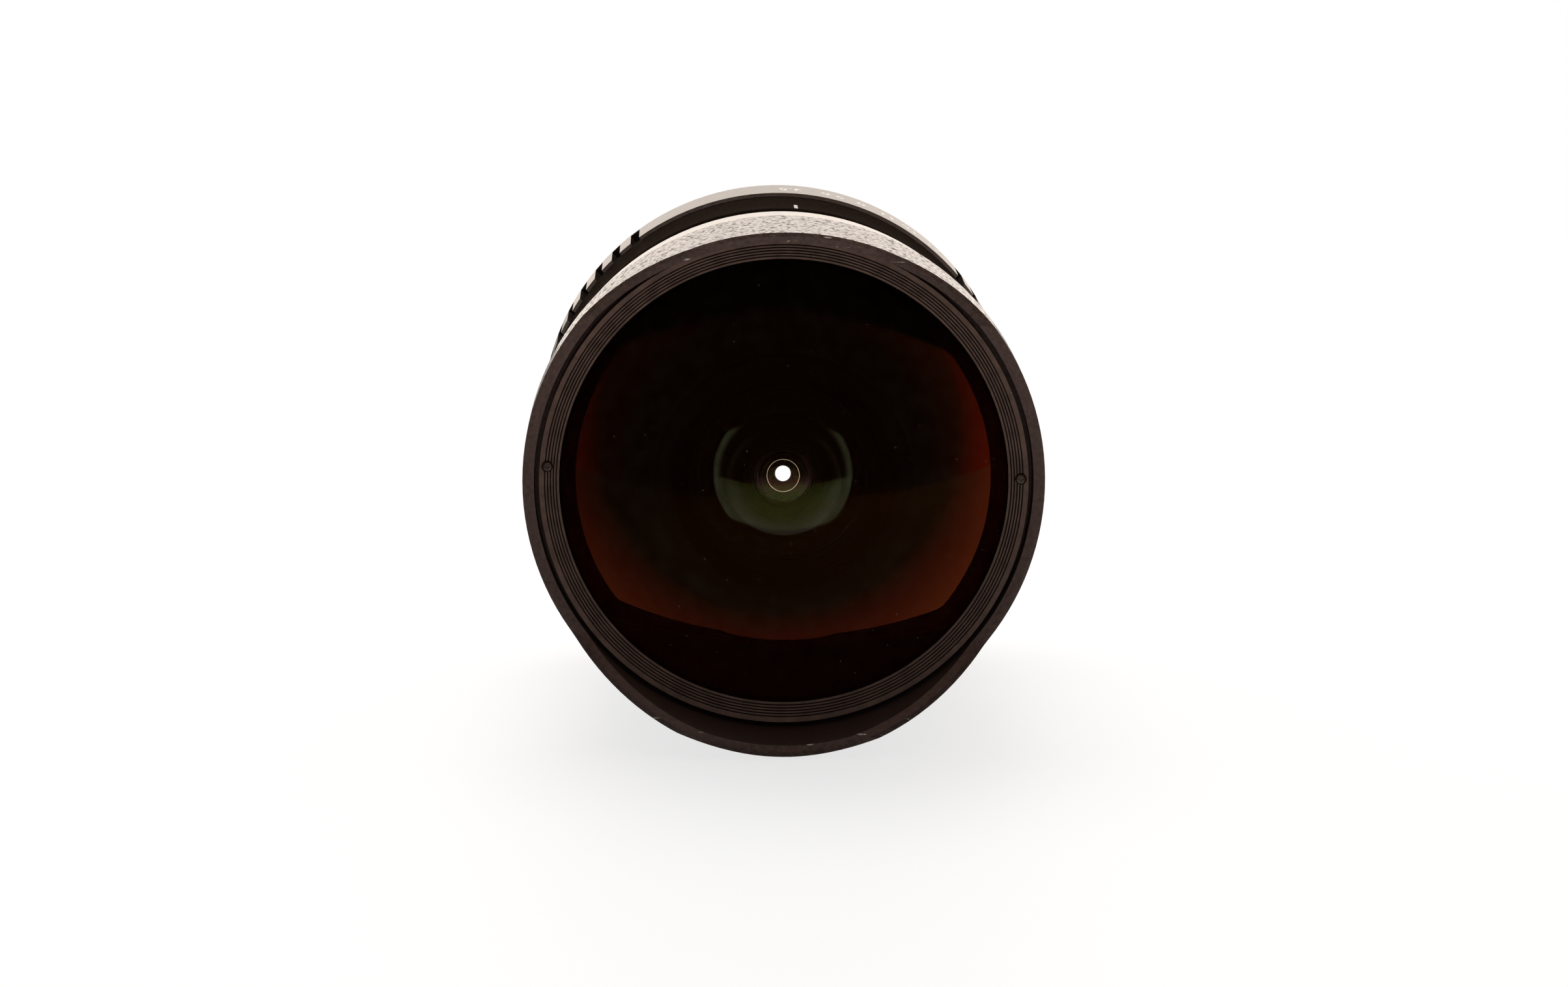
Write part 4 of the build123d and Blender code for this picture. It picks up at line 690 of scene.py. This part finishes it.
def outward(clock):
    """The direction away from the axis at an angle clockwise from the top, seen from the front."""
    return Vector((math.sin(clock), 0, math.cos(clock)))


def surface_radius(name, clock, y):
    """How far from the axis the outside of a turned piece is."""
    start = Vector((0, y, 0)) + outward(clock) * hood_radius * BEYOND_SURFACE
    hit = surfaces[name].ray_cast(start, -outward(clock))[0]
    return math.hypot(hit.x, hit.z)


def laid_on(piece_name, ring, body, flat_mesh, clock_degrees, y):
    """Bends a flat mesh onto a ring: its x runs against the clock, its y forward, its z outward."""
    middle = math.radians(clock_degrees)
    middle_radius = surface_radius(ring, middle, y)
    shaped = bmesh.new()
    shaped.from_mesh(flat_mesh)
    bmesh.ops.triangulate(shaped, faces=shaped.faces[:])
    for vertex in shaped.verts:
        clock = middle - vertex.co.x / middle_radius
        along = y - vertex.co.y
        lifted = surface_radius(ring, clock, along) + (FIGURE_RELIEF if vertex.co.z > 0 else -FIGURE_ROOT)
        vertex.co = outward(clock) * lifted + Vector((0, along, 0))
    mesh = bpy.data.meshes.new(piece_name)
    shaped.to_mesh(mesh)
    shaped.free()
    mesh.materials.append(figure_white.material)
    piece = bpy.data.objects.new(piece_name, mesh)
    scene.collection.objects.link(piece)
    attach(piece, body)
    return piece


print("surfaces to lay on:", list(surfaces))

# %% [markdown]
# ## The stops
# The stops are painted on the aperture ring, to be read by the photographer behind the camera, so from the
# front they stand on their heads. Their places round the ring were measured in the photograph: the first
# and the last are as far apart as the ring can turn.

# %% Figures of the stops
STOPS = {"3.5": 1.6, "5.6": 12.0, "8": 19.2, "11": 26.2, "16": 32.7, "22": 40.0}
STOP_HEIGHT = 2.8 * MM
STOP_NARROW = 0.78
FIGURE_BOLDNESS = 0.03
CAPITAL_SHARE = 0.7
CURVE_STEPS = 4


def figure_mesh(text, height, narrow):
    """A flat figure of a given height, centred, a little narrower than the typeface."""
    curve = bpy.data.curves.new("figure", "FONT")
    curve.body = text
    curve.size = height / CAPITAL_SHARE
    curve.align_x = "CENTER"
    curve.align_y = "CENTER"
    curve.extrude = FIGURE_RELIEF
    curve.offset = height * FIGURE_BOLDNESS
    curve.resolution_u = CURVE_STEPS
    holder = bpy.data.objects.new("figure", curve)
    scene.collection.objects.link(holder)
    bpy.context.view_layer.update()
    mesh = bpy.data.meshes.new_from_object(holder)
    bpy.data.objects.remove(holder)
    for vertex in mesh.vertices:
        vertex.co.x *= narrow
    return mesh


stop_y = (aperture_front_y + aperture_rear_y) / 2
for text, clock in STOPS.items():
    flat = figure_mesh(text, STOP_HEIGHT, STOP_NARROW)
    laid_on("stop_" + text.replace(".", "_"), "aperture_ring", "aperture_ring", flat, clock, stop_y)
print("stops", list(STOPS))

# %% [markdown]
# ## Index line and distances
# The waist of the barrel carries a white index line, and the focusing ring a scale of distances with a fine
# tick at each. They are laid on in the same way, from figures or from a flat strip. On a helical focus the
# turn goes with one over the distance, so the far figures crowd together.

# %% Index line and distance scale
INDEX_CLOCK = 2.5
INDEX_WIDTH = 0.55 * MM
INDEX_LENGTH = 6.6 * MM
BEAD_REAR_Y = -28.3 * MM
FOCUS_SWEEP = 100.0
FOCUS_AT_REST = 20.0
CLOSEST = 0.3
DISTANCES = (0.3, 0.4, 0.5, 0.7, 1, 2)
DISTANCE_HEIGHT = 2.2 * MM
DISTANCE_NARROW = 0.8
FIGURES_FROM_REAR = 3.6 * MM
TICK_WIDTH = 0.25 * MM
TICK_LENGTH = 1.2 * MM
TICKS_FROM_REAR = 1.1 * MM


def strip_mesh(width, length, steps=6):
    """A flat strip with a few cross lines, so that it can follow a curved surface."""
    shaped = bmesh.new()
    rows = []
    for i in range(steps + 1):
        along = length * (i / steps - 0.5)
        rows.append([shaped.verts.new((side * width / 2, along, FIGURE_RELIEF)) for side in (-1, 1)])
    roots = [[shaped.verts.new((v.co.x, v.co.y, -FIGURE_RELIEF)) for v in row] for row in rows]
    for i in range(steps):
        shaped.faces.new((rows[i][0], rows[i][1], rows[i + 1][1], rows[i + 1][0]))
        shaped.faces.new((rows[i][0], rows[i + 1][0], roots[i + 1][0], roots[i][0]))
        shaped.faces.new((rows[i + 1][1], rows[i][1], roots[i][1], roots[i + 1][1]))
        shaped.faces.new((roots[i][0], roots[i + 1][0], roots[i + 1][1], roots[i][1]))
    shaped.faces.new((rows[0][1], rows[0][0], roots[0][0], roots[0][1]))
    shaped.faces.new((rows[-1][0], rows[-1][1], roots[-1][1], roots[-1][0]))
    mesh = bpy.data.meshes.new("strip")
    shaped.to_mesh(mesh)
    shaped.free()
    return mesh


index_strip = strip_mesh(INDEX_WIDTH, INDEX_LENGTH)
laid_on("index_line", "main_barrel", "barrel", index_strip, INDEX_CLOCK, BEAD_REAR_Y + INDEX_LENGTH / 2)
figures_y = focus_rear_y - FIGURES_FROM_REAR
ticks_y = focus_rear_y - TICKS_FROM_REAR
for distance in DISTANCES:
    clock = INDEX_CLOCK + FOCUS_SWEEP * CLOSEST / distance - FOCUS_AT_REST
    named = str(distance).replace(".", "_")
    figure = figure_mesh(str(distance), DISTANCE_HEIGHT, DISTANCE_NARROW)
    laid_on("distance_" + named, "focus_ring", "focus_ring", figure, clock, figures_y)
    tick = strip_mesh(TICK_WIDTH, TICK_LENGTH, 2)
    laid_on("distance_tick_" + named, "focus_ring", "focus_ring", tick, clock, ticks_y)
print("distances", DISTANCES)

# %% [markdown]
# ## Coated glass
# Thin coatings stop most of the reflections of a lens and tint the little that is left. Specular Tint does
# that and leaves what passes through clear. A thin film on the shader would be the other way, but its
# colours are harder to steer. A few specks of dust on the outermost glass glow faintly, a painted light from
# emission.

# %% Recipe: clear glass
SPECK_PAINTED_GLOW = (0.5, 0.46, 0.4)
PAINTED_GLOW_STRENGTH = 0.2


def clear_glass(name, tint, index, dust=0.0):
    """Clear glass whose leftover reflections have the tint of its coating; dust shows as pale specks of
    painted glow.
    """
    finish = Finish(name, (1.0, 1.0, 1.0), 0.0, IOR=index, Transmission_Weight=1.0, Specular_Tint=(*tint, 1))
    group = finish.node("ShaderNodeGroup", node_tree=life)
    finish.set(group, Mottle_per_mm=0.3, Lines_per_mm=2.0, Dust_amount=dust)
    # Painted light: the dust specks glow by emission as if lit, though no lamp lights them.
    specks_painted_glow = mix_color(finish.tree, group.outputs["Dust"], (0.0, 0.0, 0.0), SPECK_PAINTED_GLOW)
    finish.link(specks_painted_glow, finish.shader.inputs["Emission Color"])
    finish.set(finish.shader, Emission_Strength=PAINTED_GLOW_STRENGTH)
    return finish


print("recipe:", clear_glass.__name__)

# %% [markdown]
# ## The dome
# The reflection on the dome grows from nothing to deep red and then to amber, the more flatly its edge is
# seen. Layer Weight's Facing measures that: red rises in a straight line from a starting angle, and green
# follows late, as a fifth power. The inner face is reached from inside the glass, where Backfacing is 1,
# and keeps a faint tint of its own.

# %% Dome glass
DOME_PLAIN_TINT = (0.3, 0.1, 0.02)
TINT_START = 0.125
RED_AT_START, RED_RISE, RED_MOST = 0.24, 16.8, 4.8
GREEN_AT_START, GREEN_AT_QUARTER, GREEN_MOST = 0.08, 0.32, 2.0
GREEN_POWER = 5.0
INNER_FACE_TINT = (0.012, 0.02, 0.0)
dome_glass = clear_glass("dome_glass", DOME_PLAIN_TINT, 1.7, dust=0.6)
dome_tree = dome_glass.tree
seen_flat = dome_glass.node("ShaderNodeLayerWeight").outputs["Facing"]
risen = math_node(dome_tree, "MAXIMUM", math_node(dome_tree, "SUBTRACT", seen_flat, TINT_START), 0.0)
red = math_node(dome_tree, "MULTIPLY_ADD", risen, RED_RISE, RED_AT_START)
quarters = math_node(dome_tree, "MULTIPLY", seen_flat, 4.0)
late = math_node(dome_tree, "POWER", quarters, GREEN_POWER)
green = math_node(dome_tree, "MULTIPLY_ADD", late, GREEN_AT_QUARTER, GREEN_AT_START)
dome_tint = dome_glass.node("ShaderNodeCombineColor")
dome_glass.link(math_node(dome_tree, "MINIMUM", red, RED_MOST), dome_tint.inputs[0])
dome_glass.link(math_node(dome_tree, "MINIMUM", green, GREEN_MOST), dome_tint.inputs[1])
dome_tint.inputs[2].default_value = 0.0
from_inside = dome_glass.node("ShaderNodeNewGeometry").outputs["Backfacing"]
either_tint = mix_color(dome_tree, from_inside, dome_tint.outputs[0], INNER_FACE_TINT)
dome_glass.link(either_tint, dome_glass.shader.inputs["Specular Tint"])
print("dome tint from", TINT_START, "of the way to flat")

# %% [markdown]
# ## An even polish
# The CAD mesh of a polished face has one stray shading normal at its very middle, which would bend the view
# through the lens there. Moving points would change the mesh, so a small tree of geometry nodes repairs the
# shading instead: it joins the halves of each face and shades them evenly up to their sharp edges.

# %% Geometry nodes: even polish
JOIN_WITHIN = 0.002 * MM
SHARP_FROM = math.radians(20)
even_polish = bpy.data.node_groups.new("even_polish", "GeometryNodeTree")
for direction in ("INPUT", "OUTPUT"):
    even_polish.interface.new_socket("Geometry", in_out=direction, socket_type="NodeSocketGeometry")
given = even_polish.nodes.new("NodeGroupInput")
result = even_polish.nodes.new("NodeGroupOutput")
joined = even_polish.nodes.new("GeometryNodeMergeByDistance")
joined.inputs["Distance"].default_value = JOIN_WITHIN
angle = even_polish.nodes.new("GeometryNodeInputMeshEdgeAngle")
sharp = even_polish.nodes.new("FunctionNodeCompare")
sharp.operation = "GREATER_THAN"
sharp.inputs[1].default_value = SHARP_FROM
evened = even_polish.nodes.new("GeometryNodeSetMeshNormal")
evened.mode = "SHARPNESS"
evened.inputs["Remove Custom"].default_value = True
even_polish.links.new(given.outputs[0], joined.inputs[0])
even_polish.links.new(joined.outputs[0], evened.inputs[0])
even_polish.links.new(angle.outputs["Unsigned Angle"], sharp.inputs[0])
even_polish.links.new(sharp.outputs[0], evened.inputs["Edge Sharpness"])
even_polish.links.new(evened.outputs[0], result.inputs[0])
print("geometry nodes:", len(even_polish.nodes))

# %% [markdown]
# ## Ten pieces of glass
# The rims of the glass and the flat rings outside its polished surfaces are ground and blackened, which
# keeps stray light out, so those faces get a black finish: they look sideways, or straight along the axis
# outside the polished radius. Each of the deeper pieces has its own tint and index; the second one gives
# the green half-disc behind the bright spot.

# %% Glass pieces
GLASS_PLAN = {
    "second_element": ((0.085, 0.115, 0.02), 1.7),
    "third_element": ((0.08, 0.02, 0.04), 1.6),
    "fourth_element": ((0.06, 0.07, 0.03), 1.5),
    "fifth_element": ((0.15, 0.08, 0.03), 1.7),
}
OTHER_GLASS = ((0.04, 0.03, 0.02), 1.6)
POLISHED_RADIUS = {"front_element": 16.9 * MM, "second_element": 11.35 * MM}
POLISHED_SHARE = 0.93
SIDEWAYS = 0.02
STRAIGHT = 0.9999
ground_black = dark_coat(
    "ground_edge_black",
    (0.002, 0.0012, 0.0008),
    0.8,
    dust=0.0,
    spread=0.2,
    bump=0.0,
    Specular_IOR_Level=0.0,
)


def is_ground(face, radius, limit):
    """Whether a face belongs to the rim of a glass or to the flat ring outside its polished surface."""
    lean_along = abs(face.normal.y)
    return lean_along < SIDEWAYS or (lean_along > STRAIGHT and radius > limit)


for name in sorted(n for n in nodes if n.endswith("_element")):
    tint, index = GLASS_PLAN.get(name, OTHER_GLASS)
    shade = dome_glass if name == "front_element" else clear_glass(name + "_glass", tint, index)
    wearing([name], shade, ground_black)
    nodes[name].modifiers.new("even_polish", "NODES").node_group = even_polish
    limit = POLISHED_RADIUS.get(name, ring_radius(name) * POLISHED_SHARE)
    ground = pick_faces(name, 1, lambda face, radius: is_ground(face, radius, limit))
    print(name, "ground faces", ground)

# %% [markdown]
# ## Light of the room
# The lens was photographed before a white backdrop, and the dome mirrors a dim room with warm walls. One
# even world would fill the glass with grey, so the world differs by the kind of ray. The camera sees white.
# Mirrors see the backdrop behind the lens, the walls beside it and the dim room in front. A look through
# glass sees the backdrop and little else. Matt surfaces get a plain soft light.

# %% World
ROOM_IN_FRONT = (0.11, 0.075, 0.06)
LEFT_WALL, RIGHT_WALL = (0.25, 0.1, 0.08), (0.5, 0.22, 0.12)
MIRRORED_BACKDROP = (1.2, 1.06, 0.95)
ROOM_THROUGH_GLASS, BACKDROP_THROUGH_GLASS = (0.05, 0.035, 0.03), (1.2, 1.2, 1.2)
SOFT_IN_FRONT, SOFT_BEHIND = (0.12, 0.12, 0.12), (0.85, 0.85, 0.85)
WALLS_FADE, BACKDROP_FADE, SOFT_FADE = (-0.75, -0.47), (-0.15, 0.1), (-0.4, 0.4)
WALL_SIDES = (-0.6, 0.6)
world = bpy.data.worlds.new("studio")
scene.world = world
world.use_nodes = True
sky = world.node_tree
background = sky.nodes["Background"]
ray = sky.nodes.new("ShaderNodeLightPath")
heading = sky.nodes.new("ShaderNodeSeparateXYZ")
sky.links.new(sky.nodes.new("ShaderNodeTexCoord").outputs["Generated"], heading.inputs[0])
rightward, rearward = heading.outputs[0], heading.outputs[1]
side_wall = mix_color(sky, map_range(sky, rightward, *WALL_SIDES), LEFT_WALL, RIGHT_WALL)
beside_lens = map_range(sky, rearward, *WALLS_FADE, smooth=True)
front_room = mix_color(sky, beside_lens, ROOM_IN_FRONT, side_wall)
behind_lens = map_range(sky, rearward, *BACKDROP_FADE, smooth=True)
seen_in_gloss = mix_color(sky, behind_lens, front_room, MIRRORED_BACKDROP)
seen_through = mix_color(sky, behind_lens, ROOM_THROUGH_GLASS, BACKDROP_THROUGH_GLASS)
soft_backdrop = map_range(sky, rearward, *SOFT_FADE, smooth=True)
diffuse_light = mix_color(sky, soft_backdrop, SOFT_IN_FRONT, SOFT_BEHIND)
lit = mix_color(sky, ray.outputs["Is Glossy Ray"], diffuse_light, seen_in_gloss)
lit = mix_color(sky, ray.outputs["Is Transmission Ray"], lit, seen_through)
shown = mix_color(sky, ray.outputs["Is Camera Ray"], lit, (1.0, 1.0, 1.0))
sky.links.new(shown, background.inputs["Color"])
background.inputs["Strength"].default_value = 1.0
print("world nodes", len(sky.nodes))

# %% [markdown]
# ## Lamps
# Two soft lamps shape the light: a large one above and behind, which brightens the top of the rings and
# leaves a soft shadow on the board, and a low wide one in front that reaches under the hood. The low one
# is hidden from mirrors and glass, because the dome would show it as a hard bright bar.

# %% Soft lamps
def soft_lamp(name, place, target, size, power, color=(1, 1, 1)):
    """A rectangular soft lamp aimed at a point."""
    data = bpy.data.lights.new(name, "AREA")
    data.shape = "RECTANGLE"
    data.size, data.size_y = size
    data.energy = power
    data.color = color
    lamp = bpy.data.objects.new(name, data)
    scene.collection.objects.link(lamp)
    aim = (target - place).to_track_quat("-Z", "Y")
    lamp.matrix_world = Matrix.Translation(place) @ aim.to_matrix().to_4x4()
    return lamp


lens_middle = Vector((0, (tips_y + aperture_rear_y) / 2, 0))
soft_lamp("lamp_above", studio(-0.1, 0.3, 0.9), lens_middle, size=(0.7, 0.5), power=5.2)
low_lamp = soft_lamp(
    "lamp_low", studio(0.0, -0.6, -0.07), lens_middle, size=(0.6, 0.12), power=2.7, color=(1.0, 0.85, 0.78)
)
low_lamp.visible_glossy = False
low_lamp.visible_transmission = False

# %% [markdown]
# ## A collar that only mirrors see
# The glow in the dome ends in slanted corners and a dark foot, where the mirrored petals cut it off. A dark
# collar of painted shade follows the edge of the petals and reaches a little further forward, further at the
# sides than at the tips. Only reflections see it, so its painted shade trims the glow and stays out of the
# picture.

# %% Dark collar
COLLAR_STEPS = 240
COLLAR_RADIUS = 36.9 * MM
COLLAR_AT_TIPS = 2.3 * MM
COLLAR_AT_SIDES = 4.4 * MM
COLLAR_FOOT = 0.1 * MM
edge_places = []
for step in range(COLLAR_STEPS):
    start = outward(2 * math.pi * step / COLLAR_STEPS) * COLLAR_RADIUS + Vector((0, 2 * tips_y, 0))
    edge_places.append(surfaces["front_hood"].ray_cast(start, Vector((0, 1, 0)))[0])
deepest = max(edge.y for edge in edge_places)
collar_points = []
for edge in edge_places:
    share = (edge.y - tips_y) / (deepest - tips_y)
    reach = COLLAR_AT_TIPS + (COLLAR_AT_SIDES - COLLAR_AT_TIPS) * share
    collar_points += [(edge.x, edge.y - reach, edge.z), (edge.x, edge.y + COLLAR_FOOT, edge.z)]
collar_faces = []
for step in range(COLLAR_STEPS):
    after = (step + 1) % COLLAR_STEPS
    collar_faces.append((2 * step, 2 * step + 1, 2 * after + 1, 2 * after))
collar = mesh_object("painted_shade_collar", collar_points, collar_faces, smooth=True)
# Painted shade: the collar's warm dark colour is seen only in reflections, where it darkens the glow.
painted_shade_finish = dark_coat("collar_painted_shade_black", (0.15, 0.05, 0.01), 0.9, dust=0.0, Specular_IOR_Level=0.0)
collar.data.materials.append(painted_shade_finish.material)
for kind in ("visible_camera", "visible_diffuse", "visible_shadow", "visible_transmission"):
    setattr(collar, kind, False)
foremost = min(y for x, y, z in collar_points)
print("collar from", round(foremost / MM, 1), "mm, deepest edge", round(deepest / MM, 1), "mm")

# %% [markdown]
# ## The white of the board
# A paint as white as the photograph would clip under the lamps and lose the soft shadow of the lens. So the
# paint is darker, and a camera ray also sees some brightness of the board's own, which lifts both to the
# right level. A mirror sees the board painted near black, with a painted glow that grows toward the right,
# which gives the glow in the dome its uneven sides, and a look through glass sees it white.

# %% Board material
BOARD_TONES = (0.196, 0.196, 0.194), (0.204, 0.204, 0.202)
BOARD_GRAIN = (0.02, 3.0)
BOARD_PAINTED_DIM_FOR_MIRRORS = (0.02, 0.02, 0.02)
BOARD_OWN_WHITE = 0.74
MIRROR_SPAN = (-150.0, 150.0)
PAINTED_MIRROR_GLOW = (0.13, 0.36)
board_white = Finish("board_white", (0.2, 0.2, 0.198), 0.6, Emission_Color=(1, 1, 1, 1))
board_tree = board_white.tree
board_place = millimetres(board_tree)
board_paint = mix_color(board_tree, noise(board_tree, board_place, *BOARD_GRAIN), *BOARD_TONES)
# Painted light: mirrors see the board painted near black and lit only by a painted glow that grows toward
# the right.
board_ray = board_white.node("ShaderNodeLightPath")
in_mirror = board_ray.outputs["Is Glossy Ray"]
either_paint = mix_color(board_tree, in_mirror, board_paint, BOARD_PAINTED_DIM_FOR_MIRRORS)
board_white.link(either_paint, board_white.shader.inputs["Base Color"])
board_parts = board_white.node("ShaderNodeSeparateXYZ")
board_white.link(board_place, board_parts.inputs[0])
painted_glow_by_side = map_range(board_tree, board_parts.outputs[0], *MIRROR_SPAN, *PAINTED_MIRROR_GLOW)
painted_glow_in_mirrors = math_node(board_tree, "MULTIPLY", in_mirror, painted_glow_by_side)
camera_light = math_node(board_tree, "MULTIPLY", board_ray.outputs["Is Camera Ray"], BOARD_OWN_WHITE)
in_glass = math_node(board_tree, "ADD", painted_glow_in_mirrors, board_ray.outputs["Is Transmission Ray"])
own_light = math_node(board_tree, "ADD", camera_light, in_glass)
board_white.link(own_light, board_white.shader.inputs["Emission Strength"])
board.data.materials.append(board_white.material)
print("board material on", board.name)

# %% [markdown]
# ## Render settings that belong to the scene
# Light goes through ten pieces of glass, two surfaces each, before it reaches the backdrop, so the path
# needs more transmission bounces than usual. The view transform is Standard, so colours come out as written.

# %% Settings
scene.view_settings.view_transform = "Standard"
scene.cycles.max_bounces = 40
scene.cycles.transmission_bounces = 36
scene.cycles.glossy_bounces = 8
scene.cycles.transparent_max_bounces = 16
scene.cycles.caustics_refractive = True
print("transmission bounces", scene.cycles.transmission_bounces)
